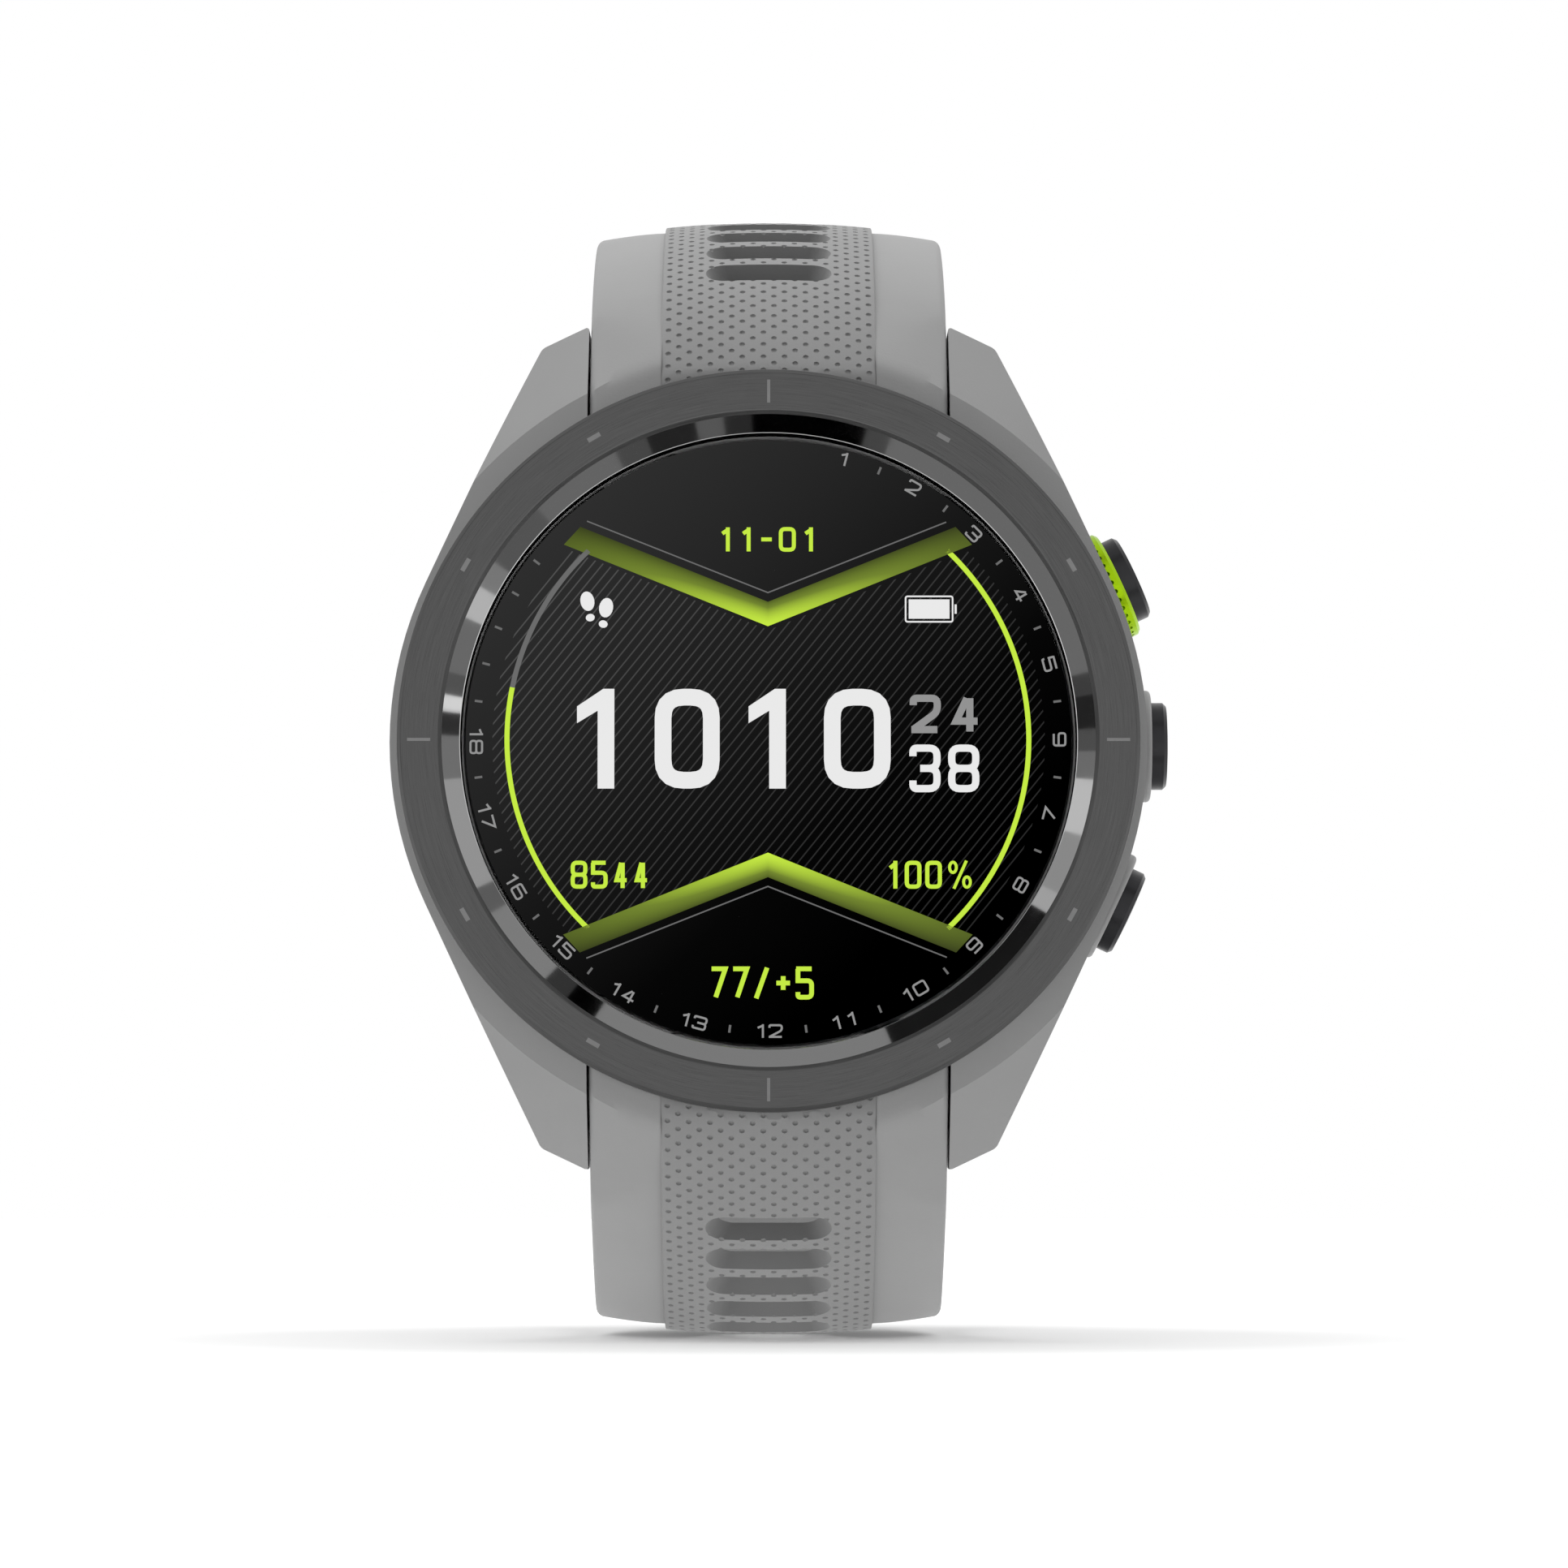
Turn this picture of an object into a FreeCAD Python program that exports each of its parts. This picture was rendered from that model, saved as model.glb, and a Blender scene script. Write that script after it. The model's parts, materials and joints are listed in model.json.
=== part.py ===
"""Golf GPS watch on a buckled silicone strap, built as an assembly of separate pieces.

Frame, in millimetres: the dial faces -Y, twelve o'clock is +Z and the buttons are at +X. The origin is
the centre of the sensor window's flat face, where the watch sits on the wrist; the head lies in front
of it and the strap loop behind it. Depths in the head are counted from the bezel's top face and are
turned into Y by back(depth).
"""
import FreeCAD, Part
import math
import os
from FreeCAD import Vector as V

# ---- driving dimensions of the head -------------------------------------------------------------
HEAD_THICKNESS = 12.9      # bezel top to sensor face
CASE_RADIUS = 21.37
FLANK_ANGLE = 25.0         # the lug flanks leave the round case along this tangent
LUG_TIP_Z = 24.1           # inner corner of a lug's tip
LUG_SHOULDER_Z = 22.82     # outer corner of a lug's tip
LUG_ROUNDING = (0.7, 0.15)  # at the outer and the inner corner
LUG_GAP = 20.5             # between a pair of lugs
LUG_UNDERSIDE = 1.0        # the lugs end this far in front of the sensor face
BARREL_RADIUS = 19.9       # case wall between the lugs
COLLAR_TOP_RADIUS = 20.8   # cone under the bezel, top and foot
COLLAR_FOOT_RADIUS = 22.3
COLLAR_HEIGHT = 0.5
DOME_END_RADIUS = 29.0     # the case front falls away to here
DOME_END_DEPTH = 10.1
CAVITY_RADIUS = 17.6
FRONT_LIP_RADIUS = 17.2
FRONT_LIP = 0.5

BEZEL_RADIUS = 20.86
BEZEL_HEIGHT = 2.4
BEZEL_FLAT_INNER = 18.58   # brushed flat ends here and the bevel starts
BEZEL_BEVEL_INNER = 18.33
BEZEL_EYE_RADIUS = 17.32   # edge of the glass that shows
BEZEL_SLOPE_DEPTH = 0.72
GLASS_DEPTH = 0.82
GLASS_THICKNESS = 1.18
GLASS_RADIUS = 18.22
ADHESIVE = 0.1
SLIP = 0.08                # small clearance between pieces that are glued or dropped in

MARK_DEPTH = 0.06          # inlaid marks on the bezel
MARK_PROUD = 0.005
QUARTER_MARK = (1.3, 0.17)     # radial length and width
QUARTER_MARK_RADIUS = 19.6
HOUR_MARK = (0.26, 0.78)       # radial and tangential size
HOUR_MARK_RADIUS = 19.62

DISPLAY_RADIUS = 17.05
RIBBON_THICKNESS = 0.1     # the display is this far in front of the chassis
CHASSIS_THICKNESS = 0.6
BATTERY = (18.0, 3.5, 18.5)    # X, depth, Z
BATTERY_CENTRE = (-4.0, 1.2)   # X, Z
BOARD_RADIUS = 16.8
BOARD_THICKNESS = 0.8
BOARD_DEPTH = 7.8
POST_CIRCLE = 15.4
POST_RADIUS = 0.95
POST_ANGLES = (58, 122, 238, 302)
MOTOR_CENTRE = (3.0, -12.6)
MOTOR_RADIUS = 3.5
MOTOR_HEIGHT = 2.7
MOTOR_WALL = 0.2
MOTOR_SHAFT_RADIUS = 0.35
ANTENNA = (17.0, 17.5, 1.1)    # inner and outer radius, height

COVER_RADIUS = 18.9
COVER_THICKNESS = 1.5
COVER_SPIGOT = (16.2, 17.5, 1.0)
COVER_SCREW_OFFSET = 13.6
COVER_EAR_RADIUS = 1.7
SEAL_RADIUS = 0.25
SENSOR_DOME = (13.2, 10.6, 0.55)   # foot radius, top radius, height
WINDOW_RADIUS = 9.0
WINDOW_FLAT_RADIUS = 8.2
WINDOW_THICKNESS = 1.15
SENSOR_BOARD_RADIUS = 8.0
PORT_Z = -15.0
PORT_SIZE = (7.8, 1.2, 3.2)        # X, depth, Z
CONTACT_RADIUS = 0.4
CONTACT_PITCH = 1.8
VENT_RADIUS = 0.45
VENT_ANGLE = 180

# ---- buttons ------------------------------------------------------------------------------------
BUTTONS = {"upper": 25.1, "middle": 0.0, "lower": -25.1}   # degrees above the +X axis
BUTTON_DEPTH = 6.4         # of the button axes under the bezel top
CAP_RADIUS = 2.48
CAP_CLEARANCE = 0.1
CAP_FACES = {"upper": 22.91, "middle": 22.58, "lower": 22.58}   # caps' rims from the case axis
CAP_DOME = 0.09
CAP_HEIGHT = 1.5
CAP_CHAMFER = 0.2
POCKET_FLOOR = 20.0
TRAVEL = 0.6
COLLAR_FACE = 21.68
COLLAR_RADIUS = 3.18
GUARD_FACE = 21.95         # green guard ring of the upper button
GUARD_RADIUS = 3.12
GUARD_SEAT = 20.9
GUARD_BEVEL = 0.18
DIMPLE_RADIUS = 0.14
DIMPLE_ROWS = (0.55, 0.81)     # under the guard's face
DIMPLES_PER_ROW = 36
STEM_RADIUS = 0.9
STEM_END = 16.9
BUSH_RADIUS = 1.5
BUSH_CLEARANCE = 0.05
GROOVE_RADIUS = 0.58
CLIP = (17.3, 17.52, 1.2)      # from, to, radius
SPRING_WIRE = 0.13
SPRING_RADIUS = 1.35
SPRING_TURNS = 3.5
SWITCH = (13.2, 15.5, 3.4)     # inner face, outer face, width
PLUNGER_RADIUS = 0.6

# ---- strap, counted along its outer face from the bezel's edge -------------------------------------
STRAP_WIDTH = 20.3
STRAP_END_WIDTH = 18.0
STRAP_THICKNESS = 2.4
TAIL_THICKNESS = 2.1
BAND_WIDTH = 12.0
BAND_HEIGHT = 0.33
LAYER_GAP = 0.12
STRAP_EXIT = (-10.1, 20.9)     # Y, distance from the dial's centre line
BACK_RADIUS = 27.8             # outer face of the short strap round the back of the wrist
CREST_FLAT = 0.2               # level stretch of the longer front curve at the top and bottom of the loop
# each step is (radius, final angle from vertical)
UPPER_STEPS = [(23.56, 58.4), (39.0, 74.0), (25.5, 90.0)]
UPPER_EXIT_ANGLE = 37.0
LOWER_STEPS = [(21.85, 55.5), (53.0, 69.5), (11.3, 90.0)]
LOWER_EXIT_ANGLE = 34.0
SLOT_SIZE = (7.35, 2.3)        # across and along the strap, at the outer face
SLOT_PITCH = 3.3
SLOT_START = 0.05
VENT_LAND = 1.2                # strap left under the band's face where the slots go through
CHANNEL_WIDTH = 8.3            # of the channel behind the slots
UPPER_SLOTS = 5
LOWER_SLOTS = 6
TAIL_ANGLE = 52.0              # the tail lies this far up the back of the short strap
TAIL_HOLE = (2.7, 4.6)         # across and along
TAIL_HOLE_PITCH = 6.6
TAIL_HOLES = 8
TAIL_HOLES_BELOW = 2

# ---- bars, latches and buckle --------------------------------------------------------------------
BAR_RADIUS = 0.75
BAR_AT = (-3.2, 21.85)          # Y, Z of the upper lug bar
BAR_HALF_LENGTH = 11.2
BAR_CLEARANCE = 0.05
LUG_SCREW = (0.55, 0.45, 0.3, 1.5)   # head radius and height, shank radius and length
HOUSING = (15.0, -5.4, -1.9, 20.2, 24.4)   # width, Y from, Y to, Z from, Z to
RAIL = (4.3, 5.2, 0.85)        # guides of the latch: X from, X to, height
LATCH_Z = (21.75, 23.2)
LATCH_TRAVEL = 1.05
LATCH_THICKNESS = 0.8
LEAF_THICKNESS = 0.12
PIVOT_ANGLE = 12.0             # buckle bar, below the level of the lower curve's centre
PIVOT_DROP = 1.3               # bar axis under the short strap's outer face
BUCKLE_BAR_RADIUS = 0.75
BARREL = 1.2
FRAME_REACH = 30.0             # angle of the frame's far bar
FRAME_BAR = (0.15, 1.7, 4.2)   # gap above the tail, thickness, angle it spans
FRAME_ARM = (9.35, 10.9)       # X from, X to
TANG_WIDTH = 2.0
TANG_THICKNESS = 1.1
TANG_HOLE_LEAD = 5.2           # angle from the bar to the hole that the tang is in
KEEPER_WALL = 1.1
KEEPER_WIDTH = 5.0
KEEPER_GAP = 0.25
FREE_KEEPER_ANGLE = 16.0       # centre of the free keeper, up the back curve

X_AXIS = V(1, 0, 0)
Y_AXIS = V(0, 1, 0)
Z_AXIS = V(0, 0, 1)
ORIGIN = V(0, 0, 0)


def back(depth):
    """Y of a plane at this depth under the bezel's top face."""
    return depth - HEAD_THICKNESS


def save(name, shape):
    os.makedirs("parts", exist_ok=True)
    solids = shape.Solids
    assert solids and all(s.isValid() for s in solids), name
    shape.exportStep("parts/" + name + ".step")
    print(f"{name}: {len(solids)} solid(s), {sum(s.Volume for s in solids):.2f} mm3")


def box(x0, x1, y0, y1, z0, z1):
    return Part.makeBox(x1 - x0, y1 - y0, z1 - z0, V(x0, y0, z0))


def turned(points):
    """Ring or disc about the Y axis from a closed outline of (radius, depth)."""
    corners = [V(r, back(d), 0) for r, d in points]
    face = Part.Face(Part.makePolygon(corners + corners[:1]))
    return face.revolve(ORIGIN, Y_AXIS, 360)


def disc(radius, depth_from, depth_to, x=0.0, z=0.0):
    return Part.makeCylinder(radius, depth_to - depth_from, V(x, back(depth_from), z), Y_AXIS)


def ring(inner, outer, depth_from, depth_to):
    return disc(outer, depth_from, depth_to).cut(disc(inner, depth_from, depth_to))


def rod(radius, x0, x1, y, z):
    """Cylinder along X."""
    return Part.makeCylinder(radius, x1 - x0, V(x0, y, z), X_AXIS)


def side_plate(points, x0, x1):
    """Prism along X from a closed outline of (y, z)."""
    corners = [V(x0, y, z) for y, z in points]
    face = Part.Face(Part.makePolygon(corners + corners[:1]))
    return face.extrude(V(x1 - x0, 0, 0))


def radial(shape, angle):
    """Turns a piece built along +X to its place round the case."""
    turned_shape = shape.copy()
    turned_shape.rotate(ORIGIN, Y_AXIS, -angle)
    return turned_shape


def below(shape):
    """The same piece at six o'clock."""
    return shape.mirror(ORIGIN, Z_AXIS)


def group(shapes):
    return Part.makeCompound(shapes)


# ---- case ----------------------------------------------------------------------------------------
def case_outline(depth_from, depth_to):
    """Round case with four lugs, as a prism along Y."""
    a = math.radians(FLANK_ANGLE)
    start = (CASE_RADIUS * math.cos(a), CASE_RADIUS * math.sin(a))
    run = (LUG_SHOULDER_Z - start[1]) / math.cos(a)
    shoulder = (start[0] - run * math.sin(a), LUG_SHOULDER_Z)
    inner = LUG_GAP / 2
    points = [start, shoulder, (inner, LUG_TIP_Z), (inner, start[1])]
    corners = [V(x, back(depth_from), z) for x, z in points]
    face = Part.Face(Part.makePolygon(corners + corners[:1]))
    lug = face.extrude(V(0, depth_to - depth_from, 0))
    upright = [e for e in lug.Edges
               if abs(e.Vertexes[0].X - e.Vertexes[-1].X) < 1e-6
               and abs(e.Vertexes[0].Z - e.Vertexes[-1].Z) < 1e-6]
    at_shoulder = [e for e in upright if abs(e.Vertexes[0].Z - LUG_SHOULDER_Z) < 1e-6]
    at_tip = [e for e in upright if abs(e.Vertexes[0].Z - LUG_TIP_Z) < 1e-6]
    lug = lug.makeFillet(LUG_ROUNDING[0], at_shoulder)
    at_tip = [e for e in lug.Edges if any(abs(v.Z - LUG_TIP_Z) < 1e-6 for v in e.Vertexes)
              and abs(e.Vertexes[0].Z - e.Vertexes[-1].Z) < 1e-6
              and abs(e.Vertexes[0].X - e.Vertexes[-1].X) < 1e-6]
    lug = lug.makeFillet(LUG_ROUNDING[1], at_tip)
    lugs = [lug, lug.mirror(ORIGIN, X_AXIS)]
    lugs += [below(piece) for piece in lugs]
    return disc(CASE_RADIUS, depth_from, depth_to).multiFuse(lugs)


def case_dome(grow=0.0):
    """Everything behind the case's front surface: collar cone, then the fall to the lug tips."""
    top = BEZEL_HEIGHT + ADHESIVE
    foot = top + COLLAR_HEIGHT
    return turned([(0, top), (COLLAR_TOP_RADIUS + grow, top), (COLLAR_FOOT_RADIUS + grow, foot),
                   (DOME_END_RADIUS, DOME_END_DEPTH - grow), (DOME_END_RADIUS, 14), (0, 14)])


def cover_places():
    c = COVER_SCREW_OFFSET
    return [(x, z) for x in (-c, c) for z in (-c, c)]


def case_body():
    top = BEZEL_HEIGHT + ADHESIVE
    foot = HEAD_THICKNESS - LUG_UNDERSIDE
    cover_seat = foot - COVER_THICKNESS + 0.2
    body = case_outline(top, foot).common(case_dome())
    # lug undersides rise a little towards their tips
    for side in (1, -1):
        wedge = side_plate([(back(foot), side * 19.0), (back(foot) + 1, side * 19.0),
                            (back(foot) + 1, side * 25), (back(foot) - 0.7, side * 25)], -20, 20)
        body = body.cut(wedge)
    # strap recess between each pair of lugs
    for side in (1, -1):
        gap = box(-LUG_GAP / 2, LUG_GAP / 2, back(0), 1, 10, 30)
        gap = gap if side > 0 else below(gap)
        body = body.cut(gap.cut(disc(BARREL_RADIUS, 0, 14)))
    # the back edge of the round case is rounded in
    edge_cut = turned([(19.9, foot), (CASE_RADIUS + 0.01, foot - 1.6), (CASE_RADIUS + 0.6, foot - 1.6),
                       (CASE_RADIUS + 0.6, foot + 0.5), (19.9, foot + 0.5)])
    sides = box(-30, 30, back(0), 2, -8.5, 8.5)
    body = body.cut(edge_cut.common(sides))
    # bosses round the lower two buttons
    for name in ("middle", "lower"):
        boss = rod(COLLAR_RADIUS, 19.0, COLLAR_FACE, back(BUTTON_DEPTH), 0)
        boss = boss.makeFillet(0.25, [e for e in boss.Edges if e.Length > 10
                                      and e.BoundBox.XMin > COLLAR_FACE - 0.01])
        body = body.fuse(radial(boss, BUTTONS[name]))
    # inside
    lip = top + FRONT_LIP
    body = body.cut(disc(FRONT_LIP_RADIUS, top - 1, lip + 1))
    body = body.cut(disc(CAVITY_RADIUS, lip, foot + 1))
    body = body.cut(disc(COVER_RADIUS + SLIP, cover_seat, foot + 1))
    for x, z in cover_places():
        body = body.cut(disc(COVER_EAR_RADIUS + SLIP, cover_seat, foot + 1, x, z))
        body = body.cut(disc(0.55, cover_seat - 3.2, cover_seat, x, z))
    # button pockets and bores
    for name, angle in BUTTONS.items():
        y = back(BUTTON_DEPTH)
        pocket = rod(CAP_RADIUS + CAP_CLEARANCE, POCKET_FLOOR, 26, y, 0)
        bore = rod(BUSH_RADIUS + 0.01, 15, POCKET_FLOOR + 0.1, y, 0)
        body = body.cut(radial(pocket.fuse(bore), angle))
        if name == "upper":
            seat = rod(GUARD_RADIUS + 0.03, GUARD_SEAT, 26, y, 0)
            body = body.cut(radial(seat, angle))
    # lug bar holes with counterbores
    y, z = BAR_AT
    for side in (1, -1):
        for hole_z in (z, -z):
            hole = rod(BAR_RADIUS + BAR_CLEARANCE, 10, BAR_HALF_LENGTH, y, hole_z)
            head = rod(LUG_SCREW[0] + BAR_CLEARANCE, BAR_HALF_LENGTH, 16, y, hole_z)
            cutter = hole.fuse(head)
            body = body.cut(cutter if side > 0 else cutter.mirror(ORIGIN, X_AXIS))
    # pressure vent on the nine o'clock side
    vent = rod(VENT_RADIUS, CAVITY_RADIUS - 1, 23, back(BUTTON_DEPTH), 0)
    filter_seat = rod(1.3, CAVITY_RADIUS - 1, CAVITY_RADIUS + 0.4, back(BUTTON_DEPTH), 0)
    body = body.cut(radial(vent.fuse(filter_seat), VENT_ANGLE))
    return body.removeSplitter()


def vent_filter():
    disc_shape = rod(1.25, CAVITY_RADIUS - 0.05, CAVITY_RADIUS + 0.38, back(BUTTON_DEPTH), 0)
    disc_shape = disc_shape.common(disc(CAVITY_RADIUS + 0.38, 3, 10))
    return radial(disc_shape, VENT_ANGLE)


# ---- bezel, glass and display ---------------------------------------------------------------------
def bezel_blank():
    edge = 0.3
    return turned([(BEZEL_RADIUS, BEZEL_HEIGHT), (BEZEL_RADIUS, edge), (BEZEL_RADIUS - 0.18, 0),
                   (BEZEL_FLAT_INNER, 0), (BEZEL_BEVEL_INNER, 0.12),
                   (BEZEL_EYE_RADIUS, BEZEL_SLOPE_DEPTH), (BEZEL_EYE_RADIUS, GLASS_DEPTH - 0.02),
                   (GLASS_RADIUS + SLIP, GLASS_DEPTH - 0.02), (GLASS_RADIUS + SLIP, BEZEL_HEIGHT)])


def mark_shapes(depth_from, depth_to):
    """Four radial quarter marks and eight tangential hour marks."""
    marks = []
    for hour in range(12):
        if hour % 3 == 0:
            (length, width), radius = QUARTER_MARK, QUARTER_MARK_RADIUS
        else:
            (length, width), radius = HOUR_MARK, HOUR_MARK_RADIUS
        mark = box(radius - length / 2, radius + length / 2, back(depth_from), back(depth_to),
                   -width / 2, width / 2)
        marks.append(radial(mark, hour * 30))
    return marks


def bezel():
    return bezel_blank().cut(group(mark_shapes(-0.5, MARK_DEPTH)))


def bezel_marks():
    return group(mark_shapes(-MARK_PROUD, MARK_DEPTH))


def bezel_adhesive():
    return ring(GLASS_RADIUS + 0.2, BEZEL_RADIUS - 0.2, BEZEL_HEIGHT, BEZEL_HEIGHT + ADHESIVE)


def glass():
    bottom = GLASS_DEPTH + GLASS_THICKNESS
    return turned([(0, GLASS_DEPTH), (GLASS_RADIUS - 0.12, GLASS_DEPTH), (GLASS_RADIUS, GLASS_DEPTH + 0.12),
                   (GLASS_RADIUS, bottom), (0, bottom)])


def glass_gasket():
    return ring(FRONT_LIP_RADIUS + 0.1, GLASS_RADIUS - 0.1, GLASS_DEPTH + GLASS_THICKNESS,
                BEZEL_HEIGHT + ADHESIVE)


def display_panel():
    front = GLASS_DEPTH + GLASS_THICKNESS
    rear = chassis_front() - RIBBON_THICKNESS
    panel = disc(DISPLAY_RADIUS, front, rear)
    # flat lower edge where the ribbon leaves
    return panel.cut(box(-20, 20, back(front + 0.3), back(rear + 1), -20, -DISPLAY_RADIUS + 0.6))


def display_ribbon():
    """Flexible ribbon from the display's back edge through the chassis to the main board."""
    rear = chassis_front()
    front = rear - RIBBON_THICKNESS
    z = -DISPLAY_RADIUS + 1.35
    width = 3.0
    x = -3.0
    flat = box(x - width, x + width, back(front), back(rear), z, z + 2.5)
    drop = box(x - width, x + width, back(front), back(BOARD_DEPTH), z, z + RIBBON_THICKNESS)
    return flat.fuse(drop).removeSplitter()


# ---- inside of the head -----------------------------------------------------------------------------
def chassis_front():
    return BEZEL_HEIGHT + ADHESIVE + FRONT_LIP


def post_places():
    return [(POST_CIRCLE * math.cos(math.radians(a)), POST_CIRCLE * math.sin(math.radians(a)))
            for a in POST_ANGLES]


def chassis():
    front = chassis_front()
    rear = front + CHASSIS_THICKNESS
    plate = disc(CAVITY_RADIUS - SLIP, front, rear)
    for x, z in post_places():
        plate = plate.fuse(disc(POST_RADIUS, rear - 0.1, BOARD_DEPTH, x, z))
        plate = plate.cut(disc(0.45, BOARD_DEPTH - 2.2, BOARD_DEPTH, x, z))
    slot = box(-6.2, 0.2, back(front - 1), back(rear + 1), -16.2, -15.3)
    return plate.cut(slot).removeSplitter()


def battery():
    rear = chassis_front() + CHASSIS_THICKNESS
    w, d, h = BATTERY
    x, z = BATTERY_CENTRE
    cell = box(x - w / 2, x + w / 2, back(rear), back(rear + d), z - h / 2, z + h / 2)
    return cell.makeFillet(0.6, [e for e in cell.Edges if abs(e.Length - d) < 1e-6])


def antenna():
    inner, outer, height = ANTENNA
    front = chassis_front() + CHASSIS_THICKNESS
    loop = ring(inner, outer, front, front + height)
    return loop.cut(box(-3, 3, -20, 5, 10, 20))


def main_board():
    board = disc(BOARD_RADIUS, BOARD_DEPTH, BOARD_DEPTH + BOARD_THICKNESS)
    for x, z in post_places():
        board = board.cut(disc(0.6, BOARD_DEPTH - 1, BOARD_DEPTH + 2, x, z))
    return board


def board_screws():
    rear = BOARD_DEPTH + BOARD_THICKNESS
    screws = []
    for x, z in post_places():
        screw = disc(1.0, rear, rear + 0.45, x, z).fuse(disc(0.42, BOARD_DEPTH - 1.9, rear + 0.1, x, z))
        screws.append(screw.cut(hex_socket(0.45, rear + 0.2, rear + 0.5, x, z)))
    return group(screws)


def hex_socket(radius, depth_from, depth_to, x, z):
    corners = [V(x + radius * math.cos(math.radians(60 * k)), back(depth_from),
                 z + radius * math.sin(math.radians(60 * k))) for k in range(6)]
    return Part.Face(Part.makePolygon(corners + corners[:1])).extrude(V(0, depth_to - depth_from, 0))


def board_chips():
    rear = BOARD_DEPTH + BOARD_THICKNESS
    sizes = [(-9, 9, 5, 5, 0.8), (10.0, -9.5, 4, 3, 0.8), (11.3, 3.0, 3, 5, 0.7), (-10.5, -9, 4, 4, 0.9),
             (0, 12.5, 6, 2.5, 0.7)]
    return group([box(x - w / 2, x + w / 2, back(rear), back(rear + t), z - h / 2, z + h / 2)
                  for x, z, w, h, t in sizes])


def shield_can():
    rear = BOARD_DEPTH + BOARD_THICKNESS
    outer = box(-5.5, 8.0, back(rear), back(rear + 1.2), -5.5, 7.0)
    wall = 0.2
    inner = box(-5.5 + wall, 8.0 - wall, back(rear), back(rear + 1.2 - wall), -5.5 + wall, 7.0 - wall)
    return outer.cut(inner)


def motor_can():
    front = chassis_front() + CHASSIS_THICKNESS
    x, z = MOTOR_CENTRE
    can = disc(MOTOR_RADIUS, front, front + MOTOR_HEIGHT, x, z)
    room = disc(MOTOR_RADIUS - MOTOR_WALL, front + MOTOR_WALL, front + MOTOR_HEIGHT - MOTOR_WALL, x, z)
    shaft = disc(MOTOR_SHAFT_RADIUS, front + 0.1, front + MOTOR_HEIGHT - 0.1, x, z)
    return can.cut(room).fuse(shaft).removeSplitter()


def motor_rotor():
    front = chassis_front() + CHASSIS_THICKNESS
    x, z = MOTOR_CENTRE
    hub = disc(1.0, front + 0.5, front + MOTOR_HEIGHT - 0.5, x, z)
    weight = disc(MOTOR_RADIUS - MOTOR_WALL - 0.25, front + 0.7, front + MOTOR_HEIGHT - 0.7, x, z)
    weight = weight.cut(box(x - 5, x + 5, -20, 5, z, z + 5))
    bore = disc(MOTOR_SHAFT_RADIUS + 0.05, front, front + MOTOR_HEIGHT, x, z)
    return hub.fuse(weight).cut(bore).removeSplitter()


# ---- back of the head ---------------------------------------------------------------------------------
def cover_front():
    return HEAD_THICKNESS - LUG_UNDERSIDE + 0.2 - COVER_THICKNESS


def cover_rear():
    return cover_front() + COVER_THICKNESS


def window_front():
    return HEAD_THICKNESS - WINDOW_THICKNESS


def rear_cover():
    front, rear = cover_front(), cover_rear()
    foot, top, height = SENSOR_DOME
    body = turned([(0, front), (COVER_RADIUS, front), (COVER_RADIUS, rear - 0.25),
                   (COVER_RADIUS - 0.25, rear), (foot, rear), (top, rear + height), (0, rear + height)])
    for x, z in cover_places():
        body = body.fuse(disc(COVER_EAR_RADIUS, front, rear - 0.1, x, z))
    inner, outer, length = COVER_SPIGOT
    groove = SEAL_RADIUS * 2 + 0.06
    groove_at = front - length / 2
    spigot = ring(inner, outer, front - length, front + 0.1)
    spigot = spigot.cut(ring(outer - 0.5, outer + 1, groove_at - groove / 2, groove_at + groove / 2))
    body = body.fuse(spigot)
    boss = box(-PORT_SIZE[0] / 2 - 0.8, PORT_SIZE[0] / 2 + 0.8, back(front - 0.7), back(front + 0.1),
               PORT_Z - 2.2, PORT_Z + 2.2)
    body = body.fuse(boss.common(disc(inner + 0.1, 0, 14)))
    for x, z in cover_places():
        body = body.cut(disc(0.62, front - 1, rear + 1, x, z))
        body = body.cut(disc(1.2, rear - 0.85, rear + 1, x, z))
    # room for the sensor board, then the window's hole
    body = body.cut(disc(SENSOR_BOARD_RADIUS + 1.2, front - 0.5, window_front() - 0.15))
    body = body.cut(disc(WINDOW_RADIUS - 1.0, front, HEAD_THICKNESS + 1))
    body = body.cut(disc(WINDOW_RADIUS + 0.05, window_front(), HEAD_THICKNESS + 1))
    # charging port and its four contact holes
    w, depth, h = PORT_SIZE
    port = box(-w / 2, w / 2, back(rear - depth), 2, PORT_Z - h / 2, PORT_Z + h / 2)
    port = port.makeFillet(0.8, [e for e in port.Edges if abs(e.Vertexes[0].Y - e.Vertexes[-1].Y) > 0.5])
    body = body.cut(port)
    for x in contact_places():
        body = body.cut(disc(CONTACT_RADIUS + 0.02, front - 2, rear, x, PORT_Z))
    return body.removeSplitter()


def contact_places():
    return [CONTACT_PITCH * (k - 1.5) for k in range(4)]


def charging_contacts():
    front = BOARD_DEPTH + BOARD_THICKNESS
    tip = cover_rear() - PORT_SIZE[1] + 0.35
    return group([disc(CONTACT_RADIUS, front, tip, x, PORT_Z) for x in contact_places()])


def cover_screws():
    front, rear = cover_front(), cover_rear()
    screws = []
    for x, z in cover_places():
        screw = disc(1.1, rear - 0.84, rear - 0.15, x, z)
        screw = screw.fuse(disc(0.5, front - 2.6, rear - 0.8, x, z))
        screws.append(screw.cut(hex_socket(0.55, rear - 0.55, rear, x, z)))
    return group(screws)


def cover_seal():
    length = COVER_SPIGOT[2]
    y = back(cover_front() - length / 2)
    return Part.makeTorus(COVER_SPIGOT[1] - 0.2, SEAL_RADIUS, V(0, y, 0), Y_AXIS)


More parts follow.
